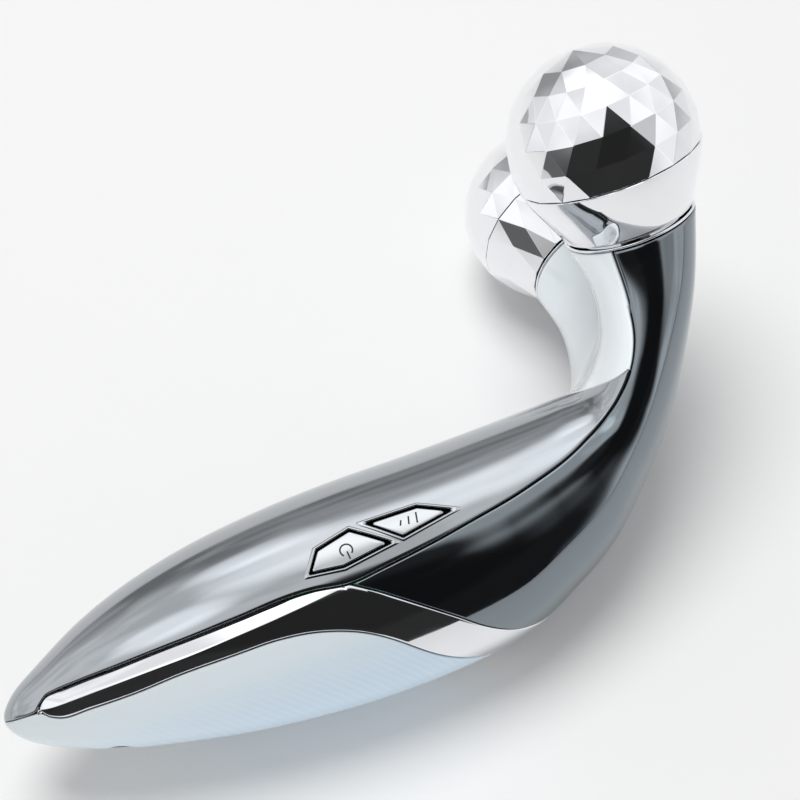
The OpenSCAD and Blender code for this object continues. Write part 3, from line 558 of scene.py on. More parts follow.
# %% Make the button caps
CAP = [
    (-0.6, 2.0), (-0.5, 1.9), (-0.5, 0.3), (-0.51, 0.2), (-0.55, 0.12), (-0.63, 0.07),
    (-0.75, 0.05),
]
CAP_FACE = 0.05
FLANGE_GROWTH = 0.4
FLANGE_TOP = 2.9
FLANGE_FLOOR = 3.5
STEM_R = 1.6
STEM_LENGTH = 2.0
STEM_DEPTH = 2.6
POWER_PRESS = (-6, 0.3)
MODE_PRESS = (8, 1.2)


def cap_rings(points):
    rings = [flat_ring(points, grow, depth) for grow, depth in CAP]
    edge = outline(points, CAP[-1][0])
    middle = edge.mean(0)
    rings.insert(0, np.tile(on_flank(middle, CAP[0][1]), (len(edge), 1)))
    for share in (0.85, 0.65, 0.45, 0.25, 0.1, 0.0):
        rings.append(on_flank(middle + (edge - middle) * share, CAP_FACE))
    return rings


def make_button(name, points, press, node, body):
    bm = bmesh.new()
    lay_rings(bm, cap_rings(points))
    flange = outline(points, FLANGE_GROWTH)
    centre = np.tile(flange.mean(0), (len(flange), 1))
    levels = (FLANGE_TOP, FLANGE_TOP, FLANGE_FLOOR, FLANGE_FLOOR)
    rings = zip((centre, flange, flange, centre), levels)
    lay_rings(bm, [off_flank(ring, -depth) for ring, depth in rings])
    stem = button_middle + press[0] * button_x + press[1] * button_y - STEM_DEPTH * button_z
    turn = Matrix((TURN @ np.column_stack([button_x, button_y, button_z])).tolist()).to_4x4()
    bmesh.ops.create_cone(
        bm, cap_ends=True, segments=32, radius1=STEM_R * MM, radius2=STEM_R * MM,
        depth=STEM_LENGTH * MM,
        matrix=Matrix.Translation(Vector(to_table(stem))) @ turn,
    )
    button = finish_mesh(name, close_up(bm))
    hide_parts(node)
    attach(button, body)
    return button


power_cap = make_button("power_cap", POWER_OUTLINE, POWER_PRESS, "power_button", "power_button")
mode_cap = make_button("mode_cap", MODE_OUTLINE, MODE_PRESS, "mode_button", "mode_button")
print("button caps:", [len(cap.data.polygons) for cap in (power_cap, mode_cap)])

# %% [markdown]
# The marks are thin inlays. The power button has the usual ring with a bar, and the mode
# button has three strokes that grow, as a sign for levels.

# %% Print the marks
STROKE_HALF = 0.17
STROKE_DEPTHS = (0.02, 0.12)
RING_R = 1.25


def lay_stroke(bm, path, half):
    """Lays a stroke of half width half along a path of (u, v) points."""
    path = np.array(path, float)
    way = np.gradient(path, axis=0)
    way /= np.linalg.norm(way, axis=1)[:, None]
    across = np.stack([way[:, 1], -way[:, 0]], -1)
    top, floor = STROKE_DEPTHS
    corners = [(half, top), (-half, top), (-half, floor), (half, floor), (half, top)]
    rings = []
    for k, point in enumerate(path):
        uv = np.array([point + across[k] * side for side, _ in corners])
        rings.append(on_flank(uv, np.array([depth for _, depth in corners])))
    ends = [np.tile(ring.mean(0), (len(corners), 1)) for ring in (rings[0], rings[-1])]
    lay_rings(bm, [ends[0]] + rings + [ends[1]])


def make_mark(name, body, paths, half):
    bm = bmesh.new()
    for path in paths:
        lay_stroke(bm, path, half)
    mark = finish_mesh(name, close_up(bm), smooth=False)
    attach(mark, body)
    return mark


RING_MIDDLE = np.array([-5.85, -0.12])
turns = np.radians(np.linspace(-50, 230, 60))
power_ring = RING_MIDDLE + RING_R * np.stack([np.cos(turns), np.sin(turns)], -1)
power_bar = RING_MIDDLE + np.array([[0.05, -0.3], [0.1, -1.1], [0.16, -2.0]])
level_strokes = [
    np.array([[start, 1.35 - 0.5 * size], [start + 0.25, 1.35], [start + 0.5, 1.35 + 0.5 * size]])
    for start, size in ((6.0, 1.1), (7.7, 1.7), (9.4, 2.3))
]
power_mark = make_mark("power_mark", "power_button", [power_ring, power_bar], STROKE_HALF)
mode_mark = make_mark("mode_mark", "mode_button", level_strokes, STROKE_HALF)

# %% [markdown]
# ## The grip shell
#
# The white shell is the belly of the handle. It hides behind the bands and ends in a
# point under the crook.

# %% Make the grip shell
GRIP_GRID = (260, 110)
SOCKET_OPENING_R = 3.15
SOCKET_OPENING_DEPTH = 7


def grip_end(v):
    return np.full(np.shape(v), GRIP_END)


def grip_reach(t):
    return np.maximum(180 - low_edge(t) - tail_gap(t), 0.1)


grip_shell = leaf_panel("grip_shell_skin", GRIP_GRID, grip_end, grip_reach, from_keel=True)
mounts = {mount["name"]: mount for mount in frame["record"]["mounts"]}
socket = mounts["charging_bore"]
way_in = Vector(socket["axis"]).to_track_quat("Z", "Y").to_matrix().to_4x4()
bore = bmesh.new()
bmesh.ops.create_cone(
    bore, cap_ends=True, segments=96, radius1=SOCKET_OPENING_R * MM,
    radius2=SOCKET_OPENING_R * MM, depth=SOCKET_OPENING_DEPTH * MM,
    matrix=Matrix.Translation(socket["pos_m"]) @ way_in,
)
cut_away(grip_shell, bore)
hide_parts("grip_shell")
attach(grip_shell, "handle")

# %% [markdown]
# ## The bright bands
#
# A polished band parts the cover from the shell on each side. A sharp crease runs along
# it, so its upper face mirrors the ceiling and its lower face the dark. Under the crook
# both bands meet in a V. The crease is one grid line that is lifted off the skin.

# %% Make the bands
BAND_GRID = (260, 30)
LOWER_FALL = 1.0
MM_PER_STATION_LOW = 14


def band_places(side, inset):
    u, du, depth_u, v, dv, depth_v = spread(*map(grid_lines, BAND_GRID))
    t = BAND_START + (BAND_END - BAND_START) * u
    t = np.clip(t + du / MM_PER_STATION_LOW, BAND_START, BAND_END)
    gap = angle_of(SHUT_LINE / 2, t)
    blunt = 4 * (1 - ease((t - BAND_START) / 0.22))
    high = np.where(t < BAND_JOIN, top_edge(t), arm_edge(t)) + gap + blunt
    low = low_edge(t) - np.where(t < LOW_SEAM_END, gap, 0.2) - blunt
    low = np.maximum(low, high + 0.1)
    fade = ease((BAND_JOIN + 0.3 - t) / 1.2) * ease((t - BAND_START) / 0.8)
    before = ease((BAND_JOIN + 0.5 - t) / 0.5)
    crest = (high + low) / 2 + before * (seam(CREASE, t) - (high + low) / 2)
    crest = np.clip(crest, high + 0.7, low - 0.04)
    room_above = np.clip((crest - high) / (0.4 * (low - high)), 0, 1)
    phi = np.where(v < 0.5, high + (crest - high) * 2 * v, crest + (low - crest) * (2 * v - 1))
    phi = phi + angle_of(dv, t)
    fall = np.where(v < 0.5, 2 * (1 - 2 * v), LOWER_FALL * (2 * v - 1))
    lift = CREASE_LIFT * fade * room_above * (1 - np.sqrt(fall**2 + 0.0016))
    return skin(t, phi, side, inset or np.maximum(depth_u, depth_v) - lift)


def make_band(name, side, node):
    band = panel(name, band_places(side, 0), band_places(side, WALL))
    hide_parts(node)
    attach(band, "handle")
    return band


right_band = make_band("right_bright_band", RIGHT, "right_band")
left_band = make_band("left_bright_band", LEFT, "left_band")

# %% [markdown]
# ## The arm covers and the fork panel
#
# Each arm has a gun-metal cover on its back and outer side. The white panel between them
# fills the fork: it starts at the top cover's saddle, divides at the crotch and runs up
# the inner side of both arms.

# %% Make the arm covers
ARM_GRID = (280, 90)
MM_PER_STATION_HIGH = 12
HEAD_END = LAST - 0.005
ARM_OPENS = 14.6


def arm_places(side, inset):
    u, du, depth_u, v, dv, depth_v = spread(*map(grid_lines, ARM_GRID))
    t = BAND_JOIN + 0.05 + (LAST - BAND_JOIN - 0.06) * u
    t = np.clip(t + du / MM_PER_STATION_HIGH, BAND_JOIN, HEAD_END)
    high = top_edge(t) + angle_of(SHUT_LINE / 2, t)
    low = arm_edge(t) - np.where(t < ARM_SEAM_END, angle_of(SHUT_LINE / 2, t), 0.2)
    phi = np.clip(high + (low - high) * v + angle_of(dv, t), high, low)
    open_side = ease((t - ARM_OPENS) / 0.4) + (t < ARM_SEAM_END + 0.1)
    depth_v = np.where(v > 0.5, depth_v * np.clip(open_side, 0, 1), depth_v)
    return skin(t, phi, side, inset or np.maximum(depth_u, depth_v))


def make_arm_cover(name, side, node):
    cover = panel(name, arm_places(side, 0), arm_places(side, WALL))
    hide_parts(node)
    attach(cover, "handle")
    return cover


right_arm = make_arm_cover("right_arm_shell", RIGHT, "right_arm_cover")
left_arm = make_arm_cover("left_arm_shell", LEFT, "left_arm_cover")

# %% Make the fork panel
FORK_GRID = (220, 80)
FORK_WELD = 0.00003
FORK_OPENS = 14.85


def fork_places(side, inset):
    u, du, depth_u, v, dv, depth_v = spread(*map(grid_lines, FORK_GRID))
    first = saddle_edge(v * HORN_ANGLE) + COVER_GAP
    t = first + (HEAD_END - first) * u
    t = np.clip(t + du / MM_PER_STATION_HIGH, first, HEAD_END)
    high = top_edge(t) - angle_of(SHUT_LINE / 2, t)
    open_side = ease((t - FORK_OPENS) / 0.3)
    phi = np.clip(v * high + angle_of(dv * np.where(v < 0.5, open_side, 1), t), 0, high)
    depth_v = np.where(v < 0.5, depth_v * open_side, depth_v)
    return skin(t, phi, side, inset or np.maximum(depth_u, depth_v))


def make_fork_panel():
    bm = bmesh.new()
    for side in (RIGHT, LEFT):
        half = panel("half", fork_places(side, 0), fork_places(side, WALL))
        bm.from_mesh(half.data)
        bpy.data.objects.remove(half)
    bmesh.ops.remove_doubles(bm, verts=bm.verts, dist=FORK_WELD)
    return finish_mesh("fork_saddle_panel", bm)


fork_panel = make_fork_panel()
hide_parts("fork_panel")
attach(fork_panel, "handle")

# %% [markdown]
# ## The balls
#
# Each ball is a faceted dome on a cup. The dome's corners lie on a sphere in staggered
# rows, and the convex hull of those corners is exactly the pattern of triangles that is
# cut on the real dome. A very narrow bevel gives each edge its glint.

# %% Place things on a ball's axle
FACETS = 20
ROW_PITCH = 15.9
ROW_COUNT = 6
SEAM_DROP = 4.4
CUP_LOW = 17.4
BALL_WALL = 1.6
seam_lat = math.asin(SEAM_DROP / BALL_R)


def ball_matrix(side):
    """The turn and place of a ball's own frame, whose z is the axle."""
    lean_turn = Matrix.Rotation(-AXIS_LEAN, 4, "Y") @ Matrix.Rotation(-side * BALL_TILT, 4, "X")
    device = Matrix(TURN.tolist()).to_4x4()
    place = Matrix.Translation(Vector(to_table([BALL_REACH, side * BALL_SPACING / 2, BALL_RISE])))
    return place @ device @ lean_turn @ Matrix.Scale(MM, 4)


def spin_profile(bm, profile, steps=192):
    """Spins a closed outline of (radius, height) points round the z axis."""
    ring = [bm.verts.new((radius, 0, height)) for radius, height in profile]
    edges = [bm.edges.new((ring[i], ring[(i + 1) % len(ring)])) for i in range(len(ring))]
    bmesh.ops.spin(
        bm, geom=ring + edges, cent=(0, 0, 0), axis=(0, 0, 1), angle=math.tau, steps=steps,
        use_merge=True,
    )
    bmesh.ops.remove_doubles(bm, verts=bm.verts, dist=0.0005)
    bmesh.ops.recalc_face_normals(bm, faces=bm.faces)


def arc(centre, radius, start, end, count):
    """Points of an arc, with the angles in degrees."""
    angles = np.radians(np.linspace(start, end, count))
    return [(centre[0] + radius * math.cos(a), centre[1] + radius * math.sin(a)) for a in angles]


def seat(name, bm, side):
    """Moves a shape from its axle's frame to its place."""
    bmesh.ops.transform(bm, matrix=ball_matrix(side), verts=bm.verts)
    return finish_mesh(name, bm)


# %% Make the domes
BALL_TURN = {RIGHT: math.radians(-1.7), LEFT: math.radians(2.5)}
CROWN = 0.15
BEVEL = 0.07
ROUND_FROM = 17.5
FLAT_ANGLE = math.radians(1.8)
ROW_LATS = [-seam_lat + math.radians(i * ROW_PITCH) for i in range(ROW_COUNT)]
# Rows of corners: radius, height and count
DOME_ROWS = [(BALL_R * math.cos(lat), BALL_R * math.sin(lat), FACETS) for lat in ROW_LATS]
DOME_ROWS[-1] = (*DOME_ROWS[-1][:2], FACETS // 2)
DOME_ROWS += [(0, BALL_R, 1)]


def cut_facets(bm):
    """Turns the corners in bm into facets that bulge a little, with narrow bevels between."""
    bmesh.ops.convex_hull(bm, input=bm.verts)
    bmesh.ops.dissolve_limit(bm, angle_limit=math.radians(1), verts=bm.verts, edges=bm.edges)
    bmesh.ops.recalc_face_normals(bm, faces=bm.faces)
    bmesh.ops.bevel(
        bm, geom=bm.edges[:], offset=BEVEL, segments=1, profile=0.5, affect="EDGES", material=-1
    )
    long_edges = [edge for edge in bm.edges if edge.calc_length() > 1]
    bmesh.ops.subdivide_edges(bm, edges=long_edges, cuts=3, use_grid_fill=True)
    for vertex in bm.verts:
        reach = vertex.co.length
        if ROUND_FROM < reach < BALL_R:
            vertex.co *= (reach + CROWN * (BALL_R - reach)) / reach
    bm.normal_update()
    for edge in bm.edges:
        edge.smooth = len(edge.link_faces) == 2 and edge.calc_face_angle(0) < FLAT_ANGLE


def make_faceted(name, side, rows, node, body):
    """Makes a piece from rows of corners. Every other row is turned by half a facet."""
    bm = bmesh.new()
    for number, (radius, height, count) in enumerate(rows):
        start = BALL_TURN[side] + (number % 2) * math.pi / FACETS
        for turn in start + math.tau * np.arange(count) / count:
            bm.verts.new((radius * math.cos(turn), radius * math.sin(turn), height))
    cut_facets(bm)
    piece = seat(name, bm, side)
    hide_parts(node)
    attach(piece, body)
    return piece


right_dome = make_faceted(
    "right_faceted_dome", RIGHT, DOME_ROWS, "right_ball_dome", "right_ball"
)
left_dome = make_faceted("left_faceted_dome", LEFT, DOME_ROWS, "left_ball_dome", "left_ball")
print("faces on a dome:", len(right_dome.data.polygons))

# %% [markdown]
# The right cup is smooth, so it is a profile that is spun round the axle. The left one
# goes on with the facets of its dome.

# %% Make the cups
seam_r = BALL_R * math.cos(seam_lat)
CUP_ROWS = [
    (seam_r, -SEAM_DROP - 0.15, FACETS), (17.2, -10.5, FACETS), (NECK_R, -CUP_LOW, FACETS),
]
neck_reach = math.hypot(NECK_R, CUP_LOW)
touch_lat = math.degrees(math.atan2(CUP_LOW, NECK_R) - math.acos(BALL_R / neck_reach))


def make_cup(name, side, node, body):
    bm = bmesh.new()
    seam_deg = math.degrees(seam_lat)
    profile = arc((0, 0), BALL_R, -seam_deg - 0.9, -touch_lat, 26)
    profile += arc((NECK_R - 0.55, -CUP_LOW + 0.6), 0.6, -40, -90, 7)
    profile += [(4, -CUP_LOW), (4, -CUP_LOW + BALL_WALL)]
    profile += [(NECK_R - 2.2, -CUP_LOW + BALL_WALL)]
    profile += [(seam_r - 2.4, -SEAM_DROP - 2), (seam_r - 1.2, -SEAM_DROP - 0.3)]
    profile += arc((seam_r - 0.35, -SEAM_DROP - 0.5), 0.3, 120, 10, 6)
    spin_profile(bm, profile)
    cup = seat(name, bm, side)
    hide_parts(node)
    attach(cup, body)
    return cup


right_cup = make_cup("right_smooth_cup", RIGHT, "right_ball_cup", "right_ball")
left_cup = make_faceted("left_faceted_cup", LEFT, CUP_ROWS, "left_ball_cup", "left_ball")
print("the cup turns into a cone at latitude", round(-touch_lat, 1))

# %% [markdown]
# ## The rings at the arms' ends
#
# A thin bright lip closes each arm under its ball.

# %% Make the arm rings


def make_ring(name, side, node):
    bm = bmesh.new()
    low = -NECK_DROP
    profile = arc((NECK_R - 0.3, low + 0.4), 0.3, -90, 90, 9)
    profile += [(2.2, low + 0.7), (2.2, low - 2), (NECK_R - 3, low - 2), (NECK_R - 3, low + 0.1)]
    spin_profile(bm, profile)
    ring = seat(name, bm, side)
    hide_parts(node)
    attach(ring, "handle")
    return ring


right_ring = make_ring("right_end_ring", RIGHT, "right_arm_ring")
left_ring = make_ring("left_end_ring", LEFT, "left_arm_ring")

# %% [markdown]
# ## Shader maths as sums
#
# A material's pattern is maths on sockets. Wrapping a socket in a small class lets a
# pattern be written as a sum, and every operator adds its Math node.

# %% Wrap a socket and a tree


class Wire:
    """A socket that can be added, multiplied and compared like a number."""

    def __init__(self, tree, socket):
        self.tree = tree
        self.socket = socket

    def math(self, operation, *others):
        node = self.tree.nodes.new("ShaderNodeMath")
        node.operation = operation
        for slot, value in zip(node.inputs, (self,) + others):
            connect(self.tree, slot, value)
        return Wire(self.tree, node.outputs[0])

    def __add__(self, other):
        return self.math("ADD", other)

    __radd__ = __add__

    def __sub__(self, other):
        return self.math("SUBTRACT", other)

    def __rsub__(self, other):
        return (self * -1) + other

    def __mul__(self, other):
        return self.math("MULTIPLY", other)

    __rmul__ = __mul__


def connect(tree, slot, value):
    if isinstance(value, Wire):
        tree.links.new(value.socket, slot)
    elif hasattr(value, "__len__") and len(value) == 3 and slot.type == "RGBA":
        slot.default_value = (*value, 1.0)
    else:
        slot.default_value = value


class Tree:
    """The node tree of a material or a world, with one method that adds any node."""

    def __init__(self, holder):
        holder.use_nodes = True
        self.tree = holder.node_tree

    def node(self, kind, output=0, settings=None, **links):
        node = self.tree.nodes.new("ShaderNode" + kind)
        for key, value in (settings or {}).items():
            setattr(node, key, value)
        for key, value in links.items():
            slot = int(key[1:]) if key[0] == "_" else key.replace("_", " ")
            connect(self.tree, node.inputs[slot], value)
        return Wire(self.tree, node.outputs[output])

    def dot(self, vector, way):
        settings = {"operation": "DOT_PRODUCT"}
        return self.node("VectorMath", "Value", settings, _0=vector, _1=tuple(way))

    def noise(self, vector, scale, detail=3.0, roughness=0.5):
        return self.node(
            "TexNoise", Vector=vector, Scale=scale, Detail=detail, Roughness=roughness
        )

    def ramp(self, value, low, high):
        """0 below low, 1 above high, smooth between."""
        settings = {"interpolation_type": "SMOOTHSTEP"}
        return self.node("MapRange", 0, settings, Value=value, From_Min=low, From_Max=high)


# %% Wrap a material


class Finish(Tree):
    """A material whose shader takes constants and wires."""

    def __init__(self, name, **constants):
        self.material = bpy.data.materials.new(name)
        super().__init__(self.material)
        self.shader = self.tree.nodes["Principled BSDF"]
        for key, value in constants.items():
            self.set(key.replace("_", " ").title(), value)

    def set(self, socket, value):
        connect(self.tree, self.shader.inputs[socket], value)

    def place(self, scale=(1, 1, 1)):
        return self.node("Mapping", Vector=self.node("TexCoord", 3), Scale=scale)

    def mix(self, share, first, second, kind):
        settings = {"data_type": "RGBA", "blend_type": kind}
        return self.node("Mix", output=2, settings=settings, _0=share, _6=first, _7=second)

    def blend(self, share, first, second):
        return self.mix(share, first, second, "MIX")

    def bump(self, height, distance, strength=1.0):
        self.set("Normal", self.node("Bump", Height=height, Distance=distance, Strength=strength))


def dress(material, *objects):
    for thing in objects:
        thing.data.materials.clear()
        thing.data.materials.append(material)


# %% [markdown]
# ## The finishes
#
# Gun-metal and bright chrome are both plating on plastic. They differ in tint, and each
# has a faint haze where fingers and cloths have been. The plating follows the plastic
# under it, so a very slow swell bends long reflections a little.

# %% Make the platings


def plating(name, tint, hazed_tint, roughness, swell):
    finish = Finish(name, metallic=1.0)
    spot = finish.place()
    haze = finish.ramp(finish.noise(spot, 60, 4, 0.6), 0.42, 0.75)
    streak = finish.ramp(finish.noise(finish.place((1, 9, 9)), 90, 2), 0.45, 0.8)
    finish.set("Base Color", finish.blend(haze * 0.6, tint, hazed_tint))
    finish.set("Roughness", roughness + 0.05 * haze + 0.03 * streak)
    slow = finish.noise(spot, 28, 1, 0.4)
    fine = finish.noise(spot, 900, 2, 0.5)
    finish.bump(slow + 0.01 * fine, swell, 0.4)
    return finish.material


gunmetal = plating("gunmetal_plating", (0.405, 0.43, 0.455), (0.43, 0.45, 0.47), 0.06, 0.00005)
dark_gunmetal = plating("arm_plating", (0.235, 0.27, 0.295), (0.26, 0.285, 0.305), 0.05, 0.00005)
bright_chrome = plating("bright_plating", (0.86, 0.87, 0.89), (0.82, 0.84, 0.87), 0.035, 0.00003)
dress(gunmetal, top_cover)
dress(dark_gunmetal, right_arm, left_arm)
dress(bright_chrome, right_band, left_band, right_ring, left_ring)

# %% Make the ball metal


def ball_metal():
    finish = Finish("polished_ball_metal", metallic=1.0)
    spot = finish.place()
    smudge = finish.ramp(finish.noise(spot, 110, 5, 0.65), 0.5, 0.8)
    finish.set("Base Color", finish.blend(smudge * 0.5, (0.9, 0.91, 0.93), (0.84, 0.85, 0.88)))
    finish.set("Roughness", 0.025 + 0.05 * smudge)
    finish.bump(finish.noise(spot, 160, 2), 0.00002, 0.25)
    return finish.material


dress(ball_metal(), right_dome, left_dome, right_cup, left_cup)

# %% [markdown]
# The white plastics are alike in colour. The fork panel is smooth and glossy. The grip is
# satin, with fine slanting ripples that grow stronger towards the keel. Its colour holds
# painted shade that grows darker and bluer towards the keel, and the ripples are also
# painted into it as lighter and darker stripes.

# %% Make the white plastics
RIPPLE_PITCH = 0.00118
RIPPLE_DRIFT = 7
RIPPLE_WAY = unit(TURN @ [0.66, 0, 0.75])


def fork_white():
    finish = Finish("ice_white_gloss", roughness=0.12, coat_weight=0.6, coat_roughness=0.04)
    spot = finish.place()
    shade = finish.noise(spot, 30, 2)
    finish.set("Base Color", finish.blend(shade, (0.86, 0.92, 0.955), (0.89, 0.94, 0.965)))
    finish.bump(finish.noise(spot, 45, 1), 0.00003, 0.3)
    return finish.material


def grip_white():
    finish = Finish("rippled_white_satin", coat_weight=0.2, coat_roughness=0.2)
    spot = finish.place()
    along = finish.dot(spot, RIPPLE_WAY)
    up = finish.dot(spot, TURN[:, 2])
    drift = finish.noise(spot, 22, 1)
    ripple = (along * (math.tau / RIPPLE_PITCH) + RIPPLE_DRIFT * drift).math("SINE")
    floor = float(TURN[:, 2] @ TAIL) * MM
    strength = finish.ramp(up, floor - 0.006, floor - 0.019)
    # painted shade: the grip's colour goes darker and bluer towards the keel
    shade = finish.ramp(up, floor - 0.003, floor - 0.02)
    painted_keel_shade = finish.blend(shade, (0.62, 0.675, 0.7), (0.51, 0.615, 0.71))
    # painted shade of the ripples: lighter and darker stripes in the colour, in step with their bump
    light = finish.blend(0.5 + 0.5 * ripple, (0.93, 0.955, 0.98), (1, 1, 1))
    finish.set("Base Color", finish.mix(strength, painted_keel_shade, light, "MULTIPLY"))
    finish.set("Roughness", 0.31 + 0.02 * ripple)
    finish.bump(ripple * strength, 0.00001, 0.5)
    return finish.material


dress(fork_white(), fork_panel)
dress(grip_white(), grip_shell)

# %% [markdown]
# The pieces inside hardly show, but they still need honest finishes: moulded nylon,
# turned steel, silicone, solder mask and a wrapped cell.

# %% Make the finishes of the inside


def moulded(name, low, high, roughness, grain=700):
    finish = Finish(name)
    spot = finish.place()
    speck = finish.noise(spot, grain, 4, 0.6)
    finish.set("Base Color", finish.blend(finish.noise(spot, 40, 2), low, high))
    finish.set("Roughness", roughness + 0.12 * speck)
    finish.bump(speck, 0.00003, 0.4)
    return finish.material


def turned_metal(name, low, high, roughness):
    finish = Finish(name, metallic=1.0)
    spot = finish.place()
    line = finish.noise(finish.place((6, 1, 1)), 500, 3)
    finish.set("Base Color", finish.blend(finish.noise(spot, 60, 2), low, high))
    finish.set("Roughness", roughness + 0.15 * line)
    finish.bump(line, 0.00001, 0.5)
    return finish.material


nylon = moulded("moulded_nylon", (0.02, 0.022, 0.026), (0.035, 0.037, 0.042), 0.4)
steel = turned_metal("turned_steel", (0.45, 0.46, 0.48), (0.6, 0.61, 0.63), 0.2)
brass = turned_metal("heavy_alloy", (0.45, 0.36, 0.16), (0.55, 0.45, 0.22), 0.25)
mat_rubber = moulded("silicone_mat", (0.02, 0.02, 0.024), (0.04, 0.04, 0.045), 0.6)
solder_mask = moulded("solder_mask", (0.01, 0.09, 0.04), (0.015, 0.13, 0.055), 0.3, 1500)
chip_black = moulded("chip_black", (0.01, 0.01, 0.011), (0.02, 0.02, 0.021), 0.35, 1500)
cell_wrap = moulded("cell_wrap", (0.03, 0.12, 0.33), (0.05, 0.16, 0.4), 0.25)
light_lens = moulded("light_lens", (0.25, 0.5, 0.8), (0.3, 0.56, 0.85), 0.15)
gunmetal_cap = plating("button_plating", (0.52, 0.54, 0.555), (0.56, 0.575, 0.585), 0.07, 0.00003)

SLOT_FINISH = {
    "gunmetal": gunmetal_cap, "bright_chrome": bright_chrome, "nylon": nylon, "steel": steel,
    "brass": brass, "mat_rubber": mat_rubber, "board_green": solder_mask,
    "chip_black": chip_black, "cell_wrap": cell_wrap, "light_lens": light_lens,
}
dress(gunmetal_cap, power_cap, mode_cap, *rims)
dress(chip_black, power_mark, mode_mark)
slot_of = {part["node"]: part["material_slot"] for part in frame["record"]["subparts"]}
for name, thing in nodes.items():
    if slot_of[name] in SLOT_FINISH:
        dress(SLOT_FINISH[slot_of[name]], thing)

# %% [markdown]
# ## The table
#
# A wide pale sheet. On the viewer's side it ends a little way from the device, so the
# plating that faces down and towards the viewer mirrors the dark beyond its edge.

# %% Make the table
CAMERA_AZIMUTH = math.radians(-122)
TABLE_REACH = 3.0
TABLE_EDGE = 0.6


def make_table():
    bm = bmesh.new()
    bmesh.ops.create_grid(bm, x_segments=1, y_segments=1, size=TABLE_REACH)
    towards = Vector((math.cos(CAMERA_AZIMUTH), math.sin(CAMERA_AZIMUTH), 0))
    bmesh.ops.bisect_plane(
        bm, geom=bm.verts[:] + bm.edges[:] + bm.faces[:], plane_co=towards * TABLE_EDGE,
        plane_no=towards, clear_outer=True,
    )
    table = finish_mesh("table_top", bm)
    finish = Finish("white_table", roughness=0.6)
    grain = finish.noise(finish.place(), 40, 3)
    finish.set("Base Color", finish.blend(grain, (0.925, 0.925, 0.92), (0.935, 0.935, 0.93)))
    dress(finish.material, table)


make_table()

# %% [markdown]
# ## The camera
#
# The camera looks down on the table from the device's right, through a long lens. Its
# place and directions are set in the device's own frame.

# %% Set the camera
CAMERA_PLACE = (32.7, -383.2, -11.6)
CAMERA_RIGHT = (0.93155, -0.11687, -0.34431)
CAMERA_FORWARD = (0.16706, 0.97864, 0.11980)


def make_camera():
    data = bpy.data.cameras.new("photo_camera")
    data.sensor_width = 36
    data.lens = 83.25
    data.clip_end = 20
    camera = link(bpy.data.objects.new("photo_camera", data))
    right, forward = unit(TURN @ CAMERA_RIGHT), unit(TURN @ CAMERA_FORWARD)
    up = np.cross(right, forward)
    turn = Matrix([list(column) for column in zip(right, up, -forward)]).to_4x4()
    camera.matrix_world = Matrix.Translation(Vector(to_table(CAMERA_PLACE))) @ turn
    bpy.context.scene.camera = camera


make_camera()
camera_way = unit(TURN @ -np.array(CAMERA_FORWARD))
print("camera direction from the device:", camera_way.round(3))

# %% [markdown]
# ## The light
#
# The room is the other half of the look, since mirrors show nothing else. It is bright
# behind the device and overhead, with brighter patches and soft clouds, greyer low down,
# and dark on the viewer's side. Only mirrors see that room. Matt surfaces get an even
# light, a key lamp from above and a fill lamp from the viewer's side that casts no
# shadow. Mirrors see neither lamp, and the camera sees plain white.

# %% Build the room


def direction(azimuth, elevation):
    az, el = math.radians(azimuth), math.radians(elevation)
    return (math.cos(az) * math.cos(el), math.sin(az) * math.cos(el), math.sin(el))


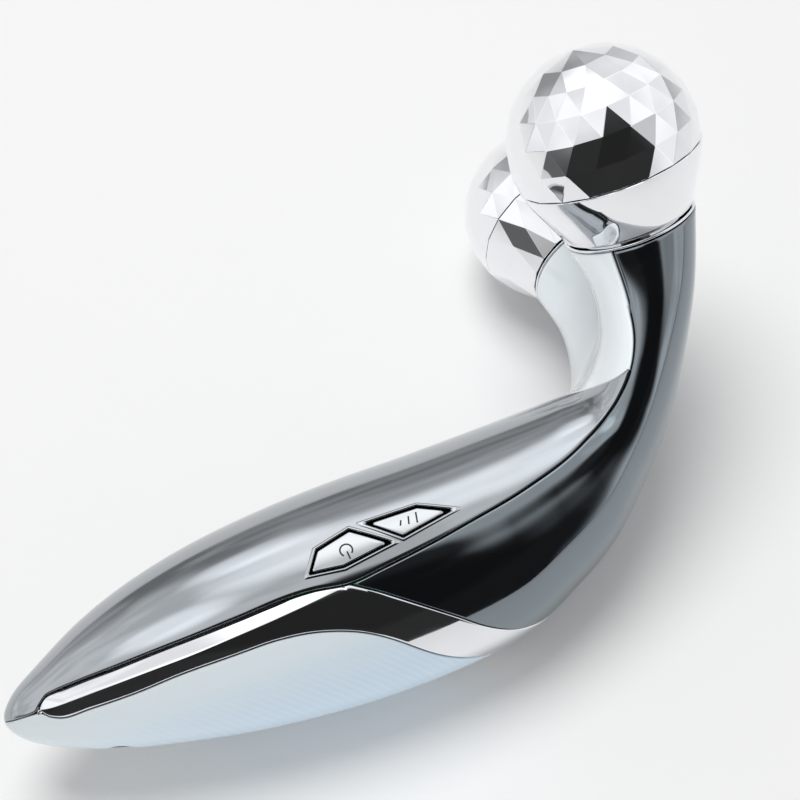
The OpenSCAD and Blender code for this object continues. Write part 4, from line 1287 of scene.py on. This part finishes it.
class Room(Tree):
    """A world whose brightness is a sum of soft round patches on the sky."""

    def __init__(self, name):
        world = bpy.data.worlds.new(name)
        bpy.context.scene.world = world
        super().__init__(world)
        self.tree.nodes.clear()
        self.look = self.node("TexCoord")

    def patch(self, azimuth, elevation, outer, inner):
        """1 inside the inner angle, 0 outside the outer one."""
        towards = self.dot(self.look, direction(azimuth, elevation))
        return self.ramp(towards, math.cos(math.radians(outer)), math.cos(math.radians(inner)))

    def cloud(self, scale):
        return self.ramp(self.noise(self.look, scale, 1.5), 0.36, 0.64)

    def finish(self, mirror_level, matt_level, camera_level, tint):
        glossy = self.node("LightPath", "Is Glossy Ray")
        camera = self.node("LightPath", "Is Camera Ray")
        level = glossy * mirror_level + (1 - glossy) * matt_level
        level = level + camera * (camera_level - matt_level)
        sky = self.node("Background", Color=tint, Strength=level)
        out = self.tree.nodes.new("ShaderNodeOutputWorld")
        self.tree.links.new(sky.socket, out.inputs[0])


# Patches: azimuth, elevation, outer and inner angle, and how much light each adds or takes
WINDOWS = [(78, 60, 22, 8, 0.7), (156, 68, 14, 5, 0.8), (95, 41, 12, 4, 0.6)]
DARK_SIDE = [
    (-108, 10, 60, 48, 0.99), (-92, 46, 28, 20, 0.99), (-75, 68, 15, 9, 0.97),
    (-166, 2, 22, 12, 0.88), (-42, 36, 20, 5, 0.45),
]
WALL_LEVEL = 0.84
CLOUD_LEVEL = 0.24
LOW_WALL_DROP = 0.56
DARK_LEVEL = 0.018
MATT_LEVEL = 0.36
CAMERA_LEVEL = 0.93
ROOM_TINT = (0.985, 0.99, 1.0)
LAMP_DISTANCE = 1.2


def make_room():
    room = Room("white_room")
    level = WALL_LEVEL + CLOUD_LEVEL * room.cloud(4.5) - LOW_WALL_DROP * room.patch(90, 2, 46, 14)
    for azimuth, elevation, outer, inner, more in WINDOWS:
        level = level + more * room.patch(azimuth, elevation, outer, inner)
    for azimuth, elevation, outer, inner, share in DARK_SIDE:
        level = level * (1 - share * room.patch(azimuth, elevation, outer, inner))
    room.finish(level + DARK_LEVEL, MATT_LEVEL, CAMERA_LEVEL, ROOM_TINT)


def make_lamp(name, azimuth, elevation, width, power):
    place = LAMP_DISTANCE * Vector(direction(azimuth, elevation))
    data = bpy.data.lights.new(name, "AREA")
    data.shape = "DISK"
    data.size = width
    data.energy = power
    lamp = link(bpy.data.objects.new(name, data))
    lamp.location = place
    lamp.visible_glossy = False
    lamp.rotation_mode = "QUATERNION"
    lamp.rotation_quaternion = (-place).to_track_quat("-Z", "Y")
    return lamp


make_room()
make_lamp("soft_key", 90, 74, 0.7, 8.6)
fill = make_lamp("soft_fill", -105, 12, 0.6, 6.5)
fill.data.use_shadow = False

view = bpy.context.scene.view_settings
view.view_transform = "Standard"
